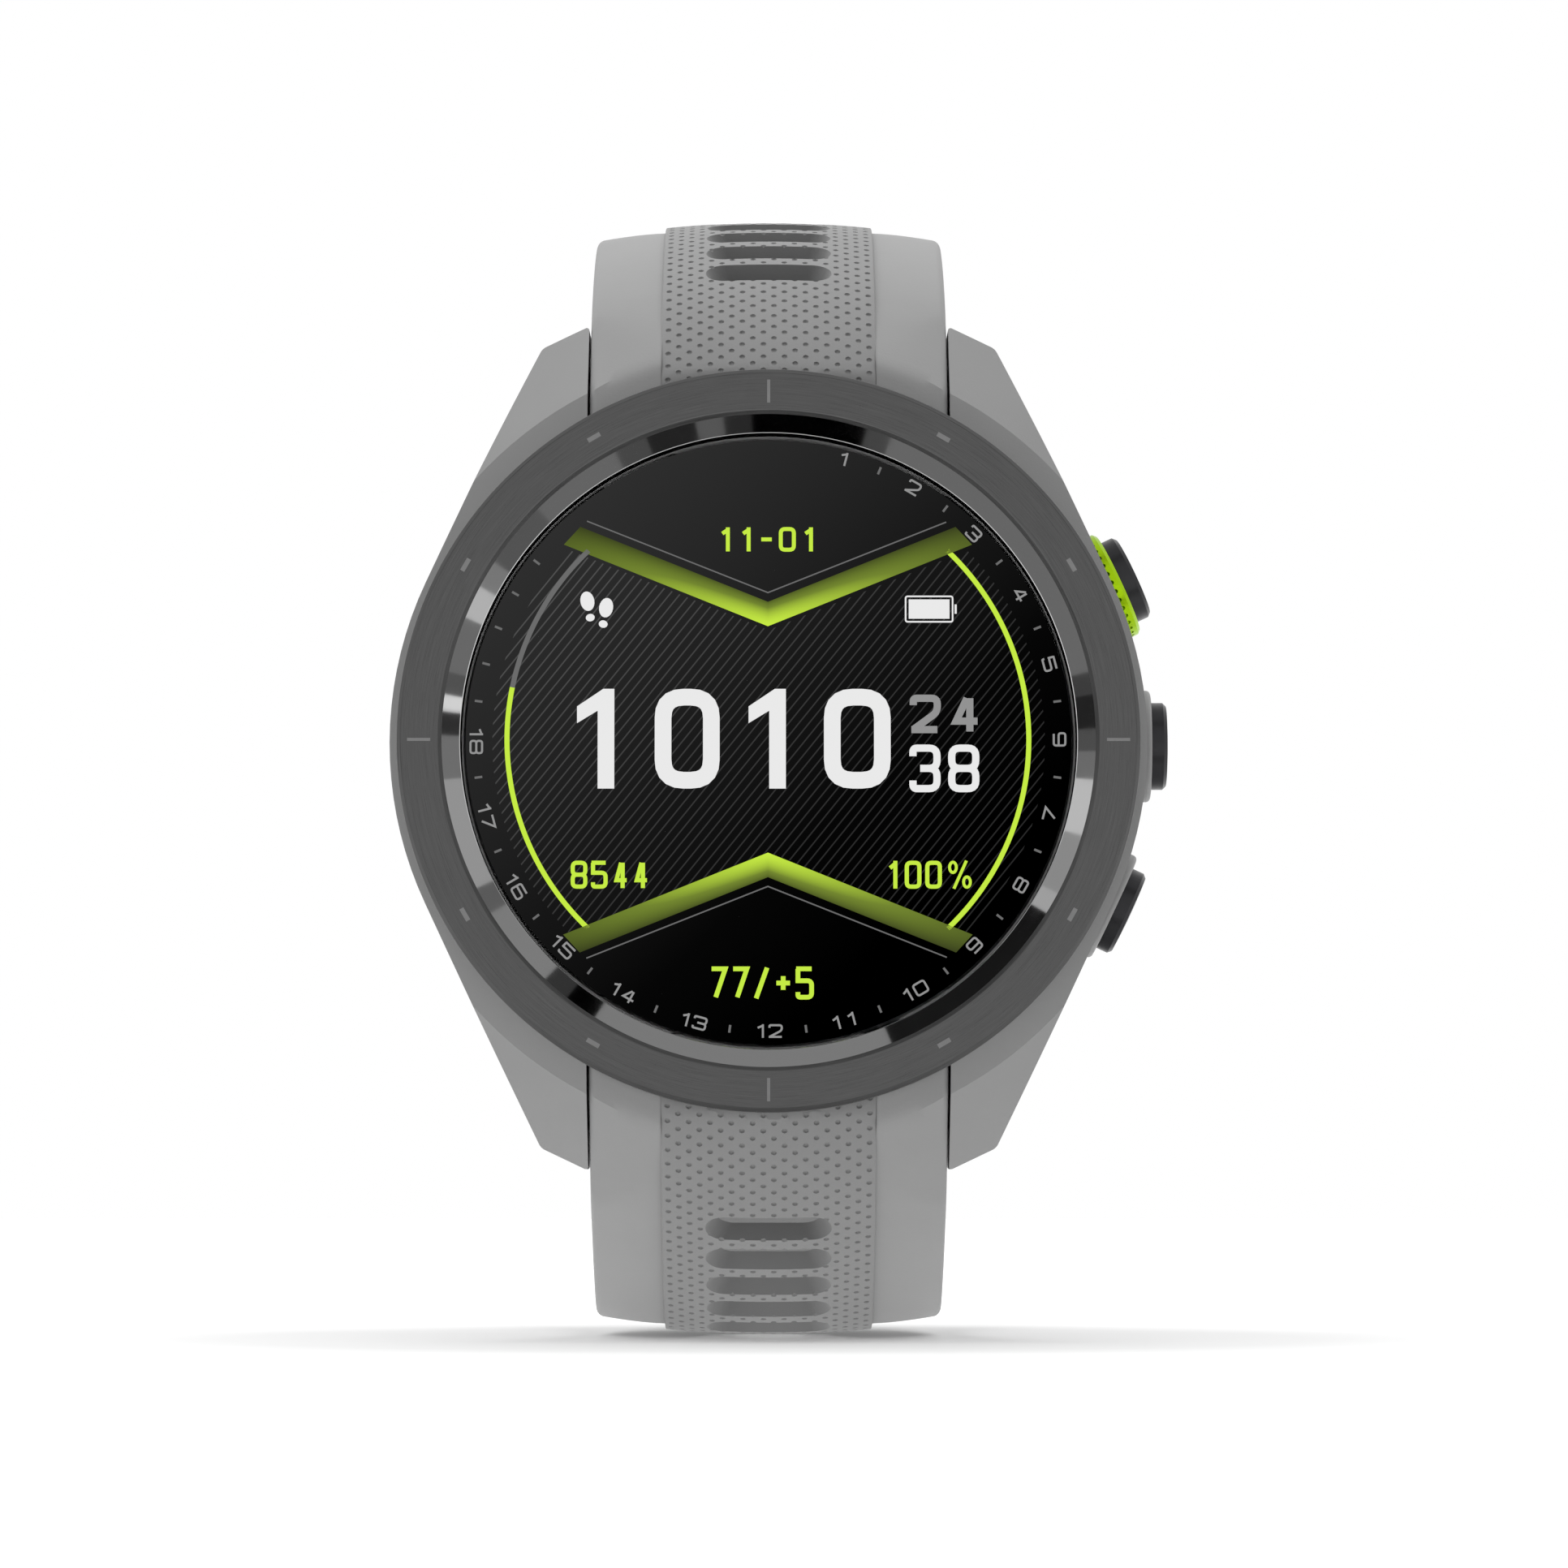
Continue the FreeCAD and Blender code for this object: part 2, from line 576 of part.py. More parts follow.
def sensor_window():
    return turned([(0, window_front()), (WINDOW_RADIUS, window_front()),
                   (WINDOW_RADIUS, cover_rear() + SENSOR_DOME[2]), (WINDOW_FLAT_RADIUS, HEAD_THICKNESS),
                   (0, HEAD_THICKNESS)])


def sensor_board():
    rear = window_front() - 0.55
    return disc(SENSOR_BOARD_RADIUS, rear - 0.35, rear)


def sensor_diodes():
    rear = window_front() - 0.55
    places = [(0, 0.9, 1.1, 1.1), (0, -0.9, 1.1, 1.1)]
    for k in range(4):
        a = math.radians(45 + 90 * k)
        places.append((5.2 * math.cos(a), 5.2 * math.sin(a), 1.6, 2.2))
    return group([box(x - w / 2, x + w / 2, back(rear), back(rear + 0.4), z - h / 2, z + h / 2)
                  for x, z, w, h in places])


def sensor_light_wall():
    return ring(2.3, 2.6, window_front() - 0.55, window_front())


# ---- buttons --------------------------------------------------------------------------------------------
def button_cap(face):
    """Cap and stem in one piece, hollow under the cap for the return spring."""
    y = back(BUTTON_DEPTH)
    chamfer = CAP_CHAMFER
    reach = CAP_DOME + 0.1
    outline = [(face - CAP_HEIGHT, 0), (face - CAP_HEIGHT, CAP_RADIUS), (face - chamfer, CAP_RADIUS),
               (face + reach, CAP_RADIUS - chamfer - reach), (face + reach, 0)]
    corners = [V(x, y, r) for x, r in outline]
    cap = Part.Face(Part.makePolygon(corners + corners[:1])).revolve(V(0, y, 0), X_AXIS, 360)
    rim = CAP_RADIUS - chamfer
    crown = (rim ** 2 + CAP_DOME ** 2) / (2 * CAP_DOME)
    cap = cap.common(Part.makeSphere(crown, V(face + CAP_DOME - crown, y, 0), Z_AXIS, -90, 90, 360))
    room = rod(CAP_RADIUS - 0.6, face - CAP_HEIGHT - 1, face - 0.45, y, 0)
    stem = rod(STEM_RADIUS, STEM_END, face - 0.4, y, 0)
    shape = cap.cut(room).fuse(stem)
    for x in seal_places():
        groove = rod(STEM_RADIUS + 1, x - 0.2, x + 0.2, y, 0).cut(rod(GROOVE_RADIUS, x - 1, x + 1, y, 0))
        shape = shape.cut(groove)
    clip_groove = rod(STEM_RADIUS + 1, CLIP[0], CLIP[1], y, 0).cut(rod(GROOVE_RADIUS, 15, 20, y, 0))
    return shape.cut(clip_groove).removeSplitter()


def seal_places():
    return (18.6, 19.3)


def button_seals():
    y = back(BUTTON_DEPTH)
    minor = (STEM_RADIUS + BUSH_CLEARANCE - 0.01 - GROOVE_RADIUS) / 2
    return group([Part.makeTorus(GROOVE_RADIUS + minor, minor, V(x, y, 0), X_AXIS) for x in seal_places()])


def button_clip():
    y = back(BUTTON_DEPTH)
    start, end, radius = CLIP
    clip = rod(radius, start + 0.01, end - 0.01, y, 0).cut(rod(GROOVE_RADIUS, 15, 20, y, 0))
    return clip.cut(box(15, 20, y - 3, y, -GROOVE_RADIUS * 0.8, GROOVE_RADIUS * 0.8))


def switch_plunger():
    y = back(BUTTON_DEPTH)
    return rod(PLUNGER_RADIUS, SWITCH[1] - 1.0, STEM_END, y, 0)


def button_spring(face):
    """Open coil between the pocket's floor and the cap's roof."""
    y = back(BUTTON_DEPTH)
    start = POCKET_FLOOR + SPRING_WIRE
    length = face - 0.45 - SPRING_WIRE - start
    per_turn = 12
    count = int(SPRING_TURNS * per_turn)
    points = []
    for k in range(count + 1):
        a = 2 * math.pi * k / per_turn
        points.append(V(start + length * k / count, y + SPRING_RADIUS * math.cos(a),
                        SPRING_RADIUS * math.sin(a)))
    curve = Part.BSplineCurve()
    curve.interpolate(points)
    path = Part.Wire(curve.toShape())
    section = Part.Wire([Part.makeCircle(SPRING_WIRE, points[0], curve.tangent(curve.FirstParameter)[0])])
    return path.makePipeShell([section], True, True)


def button_bushes():
    y = back(BUTTON_DEPTH)
    bush = rod(BUSH_RADIUS, CAVITY_RADIUS - 0.03, POCKET_FLOOR, y, 0)
    bush = bush.cut(rod(STEM_RADIUS + BUSH_CLEARANCE, 15, 22, y, 0))
    return group([radial(bush, a) for a in BUTTONS.values()])


def side_switches():
    y = back(BUTTON_DEPTH)
    start, end, width = SWITCH
    body = box(start, end, y - 1.2, back(BOARD_DEPTH), -width / 2, width / 2)
    body = body.cut(rod(PLUNGER_RADIUS + 0.06, end - 1.8, end + 1, y, 0))
    return group([radial(body, a) for a in BUTTONS.values()])


def guard_ring():
    """Dimpled ring round the upper button, pressed into the case flank."""
    y = back(BUTTON_DEPTH)
    body = rod(GUARD_RADIUS, GUARD_SEAT, GUARD_FACE, y, 0)
    body = body.makeChamfer(GUARD_BEVEL, [e for e in body.Edges if e.BoundBox.XMin > GUARD_FACE - 0.01])
    body = body.cut(rod(CAP_RADIUS + CAP_CLEARANCE + 0.05, GUARD_SEAT - 1, GUARD_FACE + 1, y, 0))
    dimples = []
    step = 360.0 / DIMPLES_PER_ROW
    for row, drop in enumerate(DIMPLE_ROWS):
        x = GUARD_FACE - drop
        for k in range(DIMPLES_PER_ROW):
            dimple = Part.makeSphere(DIMPLE_RADIUS, V(x, y, GUARD_RADIUS + 0.02))
            dimple.rotate(V(x, y, 0), X_AXIS, step * (k + row / 2))
            dimples.append(dimple)
    return radial(body.cut(group(dimples)), BUTTONS["upper"])


# ---- strap line -------------------------------------------------------------------------------------------
def stations(start, angle, steps):
    """Points of the strap's outer face at twelve o'clock, as (y, z, angle, radius of the step after)."""
    y, z = start
    out = [(y, z, angle, 0.0)]
    for radius, to in steps:
        a0, a1 = math.radians(out[-1][2]), math.radians(to)
        y, z = out[-1][0], out[-1][1]
        y += radius * (math.cos(a0) - math.cos(a1))
        z += radius * (math.sin(a1) - math.sin(a0))
        out.append((y, z, to, radius))
    return out


def lifted(y, z, angle, offset):
    a = math.radians(angle)
    return (y - offset * math.cos(a), z + offset * math.sin(a))


def arc_edge(start, end_angle, radius, offset, angle):
    """One arc of a face that lies offset outside the strap line, as (edge, end)."""
    y, z = start
    points = []
    for a in (angle, (angle + end_angle) / 2, end_angle):
        r0, r1 = math.radians(angle), math.radians(a)
        py = y + radius * (math.cos(r0) - math.cos(r1))
        pz = z + radius * (math.sin(r1) - math.sin(r0))
        py, pz = lifted(py, pz, a, offset)
        points.append(V(0, py, pz))
    return Part.Arc(*points).toShape()


def line_edges(line, offset, first=0):
    """Edges of a face offset from the strap line, from station number first to the end."""
    edges = []
    for before, after in list(zip(line, line[1:]))[first:]:
        if after[3]:
            edges.append(arc_edge(before[:2], after[2], after[3], offset, before[2]))
        else:
            a = lifted(before[0], before[1], before[2], offset)
            b = lifted(after[0], after[1], after[2], offset)
            edges.append(Part.makeLine(V(0, *a), V(0, *b)))
    return edges


def straight_to(line, length):
    y, z, angle, _ = line[-1]
    a = math.radians(angle)
    line.append((y + length * math.sin(a), z + length * math.cos(a), angle, 0.0))


def turn_to(line, radius, angle):
    line.extend(stations(line[-1][:2], line[-1][2], [(radius, angle)])[1:])


def tail_radius():
    return BACK_RADIUS + BAND_HEIGHT + LAYER_GAP + TAIL_THICKNESS


def front_line(exit_angle, steps):
    """The front of a strap's line, up to the place where its back curve starts."""
    line = stations(STRAP_EXIT, exit_angle, steps)
    straight_to(line, curve_start() - line[-1][0])
    return line


def curve_start():
    """Y at which both straps are level and their back curves start, so that the layers lie together."""
    ends = [stations(STRAP_EXIT, UPPER_EXIT_ANGLE, UPPER_STEPS)[-1][0],
            stations(STRAP_EXIT, LOWER_EXIT_ANGLE, LOWER_STEPS)[-1][0]]
    return max(ends) + CREST_FLAT


def upper_line():
    line = front_line(UPPER_EXIT_ANGLE, UPPER_STEPS)
    turn_to(line, BACK_RADIUS, 180.0)
    straight_to(line, line[-1][1] - lower_centre()[1])
    turn_to(line, BACK_RADIUS, 180.0 + PIVOT_ANGLE)
    return line


def lower_line():
    """The lower strap's line, drawn at twelve o'clock and mirrored when it is built."""
    line = front_line(LOWER_EXIT_ANGLE, LOWER_STEPS)
    turn_to(line, tail_radius(), 180.0)
    straight_to(line, line[-1][1] + upper_centre()[1])
    turn_to(line, tail_radius(), 180.0 + TAIL_ANGLE)
    return line


def upper_centre():
    """Centre of the upper back curve, (y, z)."""
    return (curve_start(), front_line(UPPER_EXIT_ANGLE, UPPER_STEPS)[-1][1] - BACK_RADIUS)


def lower_centre():
    """Centre of the lower back curve, (y, z)."""
    return (curve_start(), tail_radius() - front_line(LOWER_EXIT_ANGLE, LOWER_STEPS)[-1][1])


def flat_solid(edges, x0, x1):
    wire = Part.Wire(edges)
    face = Part.Face(wire)
    solid = face.extrude(V(x1 - x0, 0, 0))
    solid.translate(V(x0, 0, 0))
    return solid


def closing(edges, points):
    """Adds straight edges from the end of edges through points and back to the start."""
    start = edges[0].valueAt(edges[0].FirstParameter)
    end = edges[-1].valueAt(edges[-1].LastParameter)
    corners = [end] + [V(0, y, z) for y, z in points] + [start]
    return [Part.makeLine(a, b) for a, b in zip(corners, corners[1:])]


def strap_blank(line, thickness, thick_from):
    """Strap body without its raised band, with the thick end that fills the lug gap."""
    outer = line_edges(line, 0.0)
    inner = line_edges(line, -thickness, thick_from)
    inner_points = [e.valueAt(e.LastParameter) for e in inner]
    foot = (HOUSING[2], STRAP_EXIT[1] + 2.4)
    root = [foot, (HOUSING[2], BARREL_RADIUS - 6), (STRAP_EXIT[0] - 0.25, BARREL_RADIUS - 6),
            (STRAP_EXIT[0] - 0.25, STRAP_EXIT[1] - 0.2)]
    first_inner = inner[0].valueAt(inner[0].FirstParameter)
    edges = list(outer)
    edges.append(Part.makeLine(outer[-1].valueAt(outer[-1].LastParameter), inner_points[-1]))
    edges += [e.reversed() for e in reversed(inner)]
    start = outer[0].valueAt(outer[0].FirstParameter)
    corners = [first_inner] + [V(0, y, z) for y, z in root] + [start]
    edges += [Part.makeLine(a, b) for a, b in zip(corners, corners[1:])]
    wire = Part.Wire(Part.__sortEdges__(edges))
    solid = Part.Face(wire).extrude(V(STRAP_WIDTH, 0, 0))
    solid.translate(V(-STRAP_WIDTH / 2, 0, 0))
    return solid


def strap_band(line):
    """Raised middle band, from under the bezel's edge to the end of the strap."""
    outer = line_edges(line, BAND_HEIGHT)
    inner = line_edges(line, -0.5)
    corners = [outer[-1].valueAt(outer[-1].LastParameter), inner[-1].valueAt(inner[-1].LastParameter)]
    edges = list(outer) + [Part.makeLine(*corners)] + [e.reversed() for e in reversed(inner)]
    edges.append(Part.makeLine(inner[0].valueAt(inner[0].FirstParameter),
                               outer[0].valueAt(outer[0].FirstParameter)))
    solid = Part.Face(Part.Wire(Part.__sortEdges__(edges))).extrude(V(BAND_WIDTH, 0, 0))
    solid.translate(V(-BAND_WIDTH / 2, 0, 0))
    return solid


def place_along(line, s):
    """(y, z, angle) at a distance along the outer face."""
    for before, after in zip(line, line[1:]):
        if after[3]:
            length = after[3] * math.radians(after[2] - before[2])
        else:
            length = math.hypot(after[0] - before[0], after[1] - before[1])
        if s <= length or after is line[-1]:
            if after[3]:
                angle = before[2] + math.degrees(s / after[3])
                r0, r1 = math.radians(before[2]), math.radians(angle)
                return (before[0] + after[3] * (math.cos(r0) - math.cos(r1)),
                        before[1] + after[3] * (math.sin(r1) - math.sin(r0)), angle)
            a = math.radians(before[2])
            return (before[0] + s * math.sin(a), before[1] + s * math.cos(a), before[2])
        s -= length
    return line[-1][:3]


def line_length(line):
    total = 0.0
    for before, after in zip(line, line[1:]):
        if after[3]:
            total += after[3] * math.radians(after[2] - before[2])
        else:
            total += math.hypot(after[0] - before[0], after[1] - before[1])
    return total


def oblong(line, s, across, along, top_flare):
    """Cutter through the strap at distance s: an oblong with rounded ends, flared at the outer face."""
    half = 4.0
    y, z, angle = place_along(line, s)
    radius = min(across, along) / 2 - 0.02
    profile = []
    for size, height in (((across, along), BAND_HEIGHT + 0.02), ((across - 2 * top_flare, along), -half)):
        w, h = size
        block = Part.makeBox(w, h, 0.01, V(-w / 2, -h / 2, height))
        block = block.makeFillet(radius * 0.6, [e for e in block.Edges if abs(e.Length - 0.01) < 1e-6])
        profile.append(block.Faces)
    bottom = max(profile[1], key=lambda f: f.Area).OuterWire
    top = max(profile[0], key=lambda f: f.Area).OuterWire
    cutter = Part.makeLoft([bottom, top], True)
    cap = Part.Face(top).extrude(V(0, 0, 1.0))
    cutter = cutter.fuse(cap)
    # local Z is the outward normal and local Y runs along the strap
    cutter.rotate(ORIGIN, X_AXIS, 90 - angle)
    cutter.translate(V(0, y, z))
    return cutter


def vent_channel(line, first, count):
    """Cutter for the shallow channel on the wrist side, behind a row of slots."""
    start = first - SLOT_SIZE[1] / 2 - 0.25
    end = first + (count - 1) * SLOT_PITCH + SLOT_SIZE[1] / 2 + 0.25
    edges = []
    for offset in (BAND_HEIGHT - VENT_LAND, -STRAP_THICKNESS - 1.5):
        points = []
        for k in range(13):
            y, z, angle = place_along(line, start + (end - start) * k / 12)
            points.append(lifted(y, z, angle, offset))
        curve = Part.BSplineCurve()
        curve.interpolate([V(0, y, z) for y, z in points])
        edges.append(curve.toShape())
    ends = [(e.valueAt(e.FirstParameter), e.valueAt(e.LastParameter)) for e in edges]
    edges += [Part.makeLine(ends[0][k], ends[1][k]) for k in range(2)]
    face = Part.Face(Part.Wire(Part.__sortEdges__(edges)))
    cutter = face.extrude(V(CHANNEL_WIDTH, 0, 0))
    cutter.translate(V(-CHANNEL_WIDTH / 2, 0, 0))
    return cutter


def cut_slots(body, line, count):
    first = line_length([line[0], line[1]]) + SLOT_START + SLOT_SIZE[1] / 2
    for k in range(count):
        body = body.cut(oblong(line, first + k * SLOT_PITCH, *SLOT_SIZE, 0.62))
    return body.cut(vent_channel(line, first, count))


def strap_limits(end_half_width):
    """Plan shape of both straps seen along Z: full width at the lugs, narrowing towards the buckle."""
    half = STRAP_WIDTH / 2
    points = [(-30, half), (13, half), (38, end_half_width), (60, end_half_width)]
    points += [(y, -x) for y, x in reversed(points)]
    corners = [V(x, y, -45) for y, x in points]
    return Part.Face(Part.makePolygon(corners + corners[:1])).extrude(V(0, 0, 90))


def strap_front():
    """Everything behind the case's front surface, carried on far enough to shape the strap's shoulders."""
    top = BEZEL_HEIGHT + ADHESIVE
    slope = (DOME_END_DEPTH - top - COLLAR_HEIGHT) / (DOME_END_RADIUS - COLLAR_FOOT_RADIUS)
    far = 60.0
    return turned([(0, top), (COLLAR_TOP_RADIUS, top), (COLLAR_FOOT_RADIUS, top + COLLAR_HEIGHT),
                   (far, top + COLLAR_HEIGHT + slope * (far - COLLAR_FOOT_RADIUS)), (far, 90), (0, 90)])


def latch_room():
    """Space in the strap end for the hard housing, its bar channel and the latch's travel."""
    width, y0, y1, z0, z1 = HOUSING
    block = box(-width / 2, width / 2, y0, y1 + 0.001, z0 - 6, z1)
    slide = box(-RAIL[1], RAIL[1], y1, y1 + 3, z0 - 6, z1)
    return block.fuse(slide)


def finish_strap(shape):
    shape = shape.cut(latch_room())
    shape = shape.cut(disc(BARREL_RADIUS + 0.1, -1, 14))
    shape = shape.cut(disc(BEZEL_RADIUS + 0.1, -1, BEZEL_HEIGHT + ADHESIVE))
    y, z = BAR_AT
    shape = shape.cut(rod(BAR_RADIUS + 0.15, -12, 12, y, z))
    return shape


def strap_upper():
    line = upper_line()
    body = strap_blank(line, STRAP_THICKNESS, 1).common(strap_front())
    band = strap_band(line)
    body = body.common(strap_limits(STRAP_END_WIDTH / 2)).fuse(band)
    body = cut_slots(body, line, UPPER_SLOTS)
    # rolled end round the buckle bar, with a gap for the tang
    y, z = pivot()
    body = body.fuse(rod(BARREL + 0.05, -STRAP_END_WIDTH / 2, STRAP_END_WIDTH / 2, y, z))
    body = body.cut(rod(BUCKLE_BAR_RADIUS + 0.03, -12, 12, y, z))
    gap = TANG_WIDTH / 2 + 0.3
    body = body.cut(box(-gap, gap, y - 4, y + 4, z - 4, z + BARREL + 0.8))
    return finish_strap(body).removeSplitter()


def tail_hole_places(line):
    """Distances along the lower strap: the hole that the tang is in, then the others both ways."""
    base = line_length(line[:6]) - tail_radius() * math.radians(PIVOT_ANGLE + TANG_HOLE_LEAD)
    return [base + TAIL_HOLE_PITCH * (k - TAIL_HOLES_BELOW) for k in range(TAIL_HOLES)]


def strap_lower():
    line = lower_line()
    body = strap_blank(line, TAIL_THICKNESS, 1).common(strap_front())
    body = body.common(strap_limits(STRAP_END_WIDTH / 2)).fuse(strap_band(line))
    body = cut_slots(body, line, LOWER_SLOTS)
    for s in tail_hole_places(line):
        body = body.cut(oblong(line, s, *TAIL_HOLE, 0.05))
    # the tip is rounded
    y, z, angle = place_along(line, line_length(line) - 8.5)
    tip = Part.makeBox(30, 20, 10, V(-15, 0, -5))
    nose = Part.makeCylinder(STRAP_END_WIDTH / 2, 10, V(0, 0, -5), Z_AXIS)
    trim = tip.cut(nose)
    trim.rotate(ORIGIN, X_AXIS, 90 - angle)
    trim.translate(V(0, y, z))
    body = body.cut(trim)
    return below(finish_strap(body)).removeSplitter()


# ---- quick release ------------------------------------------------------------------------------------------
def quick_release_housing():
    """Hard insert moulded into the strap end: it hooks over the lug bar from the front."""
    width, y0, y1, z0, z1 = HOUSING
    body = box(-width / 2, width / 2, y0, y1, z0, z1)
    y, z = BAR_AT
    r = BAR_RADIUS + 0.05
    channel = rod(r, -12, 12, y, z).fuse(box(-12, 12, y, 5, z - r, z + r))
    body = body.cut(channel)
    for side in (1, -1):
        x0, x1 = sorted((side * RAIL[0], side * RAIL[1]))
        body = body.fuse(box(x0, x1, y1 - 0.01, y1 + RAIL[2], z + r + 0.1, z1))
    x1 = RAIL[0] + 0.1
    body = body.fuse(box(-x1, x1, y1 - 0.01, y1 + RAIL[2], z1 - 0.12, z1))
    return body.cut(disc(BARREL_RADIUS + 0.15, -1, 14)).removeSplitter()


def latch():
    """Sliding latch whose tongue closes the mouth of the bar channel."""
    y1 = HOUSING[2]
    z0, z1 = LATCH_Z
    half = RAIL[0] - 0.08
    tongue = box(-half, half, y1 + 0.03, y1 + 0.03 + LATCH_THICKNESS, z0, z1)
    thumb = box(-2.2, 2.2, y1 + LATCH_THICKNESS, y1 + LATCH_THICKNESS + 0.35, z0 + 0.3, z1 - 0.3)
    return tongue.fuse(thumb).removeSplitter()


def latch_spring():
    """Bowed leaf spring that holds the latch shut."""
    y1 = HOUSING[2] + 0.1
    z_latch, z_wall = LATCH_Z[1], HOUSING[4] - 0.12
    reach = RAIL[0] - 0.5
    t = LEAF_THICKNESS
    outer = Part.Arc(V(-reach, y1, z_wall - t), V(0, y1, z_latch), V(reach, y1, z_wall - t)).toShape()
    inner = Part.Arc(V(reach, y1, z_wall), V(0, y1, z_latch + t), V(-reach, y1, z_wall)).toShape()
    ends = [Part.makeLine(V(reach, y1, z_wall - t), V(reach, y1, z_wall)),
            Part.makeLine(V(-reach, y1, z_wall), V(-reach, y1, z_wall - t))]
    wire = Part.Wire([outer, ends[0], inner, ends[1]])
    return Part.Face(wire).extrude(V(0, LATCH_THICKNESS - 0.15, 0))


def lug_bar():
    y, z = BAR_AT
    bar = rod(BAR_RADIUS, -BAR_HALF_LENGTH, BAR_HALF_LENGTH, y, z)
    for side in (1, -1):
        start = side * BAR_HALF_LENGTH
        hole = rod(LUG_SCREW[2] + 0.01, min(start, start - side * 2.2), max(start, start - side * 2.2), y, z)
        bar = bar.cut(hole)
    return bar


def lug_screws():
    y, z = BAR_AT
    head_r, head_h, shank_r, shank_l = LUG_SCREW
    screws = []
    for hole_z in (z, -z):
        screw = rod(head_r, BAR_HALF_LENGTH, BAR_HALF_LENGTH + head_h, y, hole_z)
        screw = screw.fuse(rod(shank_r, BAR_HALF_LENGTH - shank_l, BAR_HALF_LENGTH + 0.1, y, hole_z))
        star = rod(head_r * 0.5, BAR_HALF_LENGTH + head_h - 0.2, BAR_HALF_LENGTH + 2, y, hole_z)
        screw = screw.cut(star)
        screws += [screw, screw.mirror(ORIGIN, X_AXIS)]
    return group(screws)


# ---- buckle ---------------------------------------------------------------------------------------------------
def polar(radius, angle_below):
    """(y, z) at a radius and an angle below the lower back curve's centre."""
    y, z = lower_centre()
    a = math.radians(angle_below)
    return (y + radius * math.cos(a), z - radius * math.sin(a))


def pivot():
    return polar(BACK_RADIUS - PIVOT_DROP, PIVOT_ANGLE)


def buckle_bar():
    y, z = pivot()
    body = rod(BUCKLE_BAR_RADIUS, -FRAME_ARM[0] + 0.1, FRAME_ARM[0] - 0.1, y, z)
    return body.fuse(rod(0.4, -FRAME_ARM[1] + 0.4, FRAME_ARM[1] - 0.4, y, z)).removeSplitter()


def frame_bar_radii():
    gap, thickness, _ = FRAME_BAR
    inner = tail_radius() + BAND_HEIGHT + gap
    return inner, inner + thickness


def sector(r0, r1, a0, a1, x0, x1):
    """Piece of a ring about the lower back curve's axis, between two angles below its centre."""
    points = [polar(r0, a0), polar(r0, (a0 + a1) / 2), polar(r0, a1),
              polar(r1, a1), polar(r1, (a0 + a1) / 2), polar(r1, a0)]
    v = [V(0, y, z) for y, z in points]
    edges = [Part.Arc(v[0], v[1], v[2]).toShape(), Part.makeLine(v[2], v[3]),
             Part.Arc(v[3], v[4], v[5]).toShape(), Part.makeLine(v[5], v[0])]
    return flat_solid(edges, x0, x1)


def buckle_frame():
    """Two arms from the bar to a far bar that crosses over the tail."""
    r0, r1 = frame_bar_radii()
    span = FRAME_BAR[2]
    x0, x1 = FRAME_ARM
    far = sector(r0, r1, FRAME_REACH - span / 2, FRAME_REACH + span / 2, -x1, x1)
    y, z = pivot()
    reach = FRAME_REACH + span / 2
    start = PIVOT_ANGLE - 1.0
    arm = sector(BACK_RADIUS + 0.1, r1, start + 3.0, reach, x0, x1)
    eye = rod(1.5, x0, x1, y, z)
    link = side_plate([polar(BACK_RADIUS - PIVOT_DROP - 1.3, start + 1.5), polar(BACK_RADIUS + 1.2, start + 4),
                       polar(BACK_RADIUS + 1.2, start + 9), polar(BACK_RADIUS - 0.4, start + 6)], x0, x1)
    arm = arm.fuse(eye).fuse(link)
    arm = arm.cut(rod(0.45, 0, x1 - 0.35, y, z))
    body = far.fuse(arm).fuse(arm.mirror(ORIGIN, X_AXIS)).removeSplitter()
    return body


def tang():
    """Curved pin from the bar, through the tail's hole, to the top of the frame's far bar."""
    y, z = pivot()
    eye = rod(BARREL + 0.1, -TANG_WIDTH / 2, TANG_WIDTH / 2, y, z)
    r0, r1 = frame_bar_radii()
    top = r1 + 0.05
    t = TANG_THICKNESS
    low = [polar(BACK_RADIUS - 1.9, PIVOT_ANGLE + 2.5), polar(r0 - 0.9, PIVOT_ANGLE + 7.6),
           polar(top - 0.45, PIVOT_ANGLE + 11.5), polar(top, FRAME_REACH - 3.5), polar(top, FRAME_REACH + 2.6)]
    high = [polar(top + 0.5, FRAME_REACH + 2.4), polar(top + t, FRAME_REACH - 3.5),
            polar(top + t * 0.75, PIVOT_ANGLE + 9.6), polar(r0 - 0.4, PIVOT_ANGLE + 4.6),
            polar(BACK_RADIUS - 0.6, PIVOT_ANGLE + 1.2)]
    arm = side_plate(low + high, -TANG_WIDTH / 2, TANG_WIDTH / 2)
    body = eye.fuse(arm).cut(rod(BUCKLE_BAR_RADIUS + 0.04, -5, 5, y, z))
    return body.removeSplitter()


# ---- keepers --------------------------------------------------------------------------------------------------
def keeper_layers():
    """Inner and outer face of the two strap layers at the back, as distances from the curve's centre."""
    return BACK_RADIUS - STRAP_THICKNESS, tail_radius() + BAND_HEIGHT


def fixed_keeper():
    """Loop glued round the short strap, on the straight between the two back curves."""
    inner, outer = keeper_layers()
    y0 = upper_centre()[0]
    mid = (upper_centre()[1] + lower_centre()[1]) / 2
    half = STRAP_END_WIDTH / 2 + KEEPER_GAP
    g, w = KEEPER_GAP, KEEPER_WALL
    z0, z1 = mid - KEEPER_WIDTH / 2, mid + KEEPER_WIDTH / 2
    shell = box(-half - w, half + w, y0 + inner - w, y0 + outer + g + w, z0, z1)
    shell = shell.makeFillet(0.9, [e for e in shell.Edges if abs(e.Length - KEEPER_WIDTH) < 1e-6])
    return shell.cut(box(-half, half, y0 + inner - 0.02, y0 + outer + g, z0 - 1, z1 + 1))


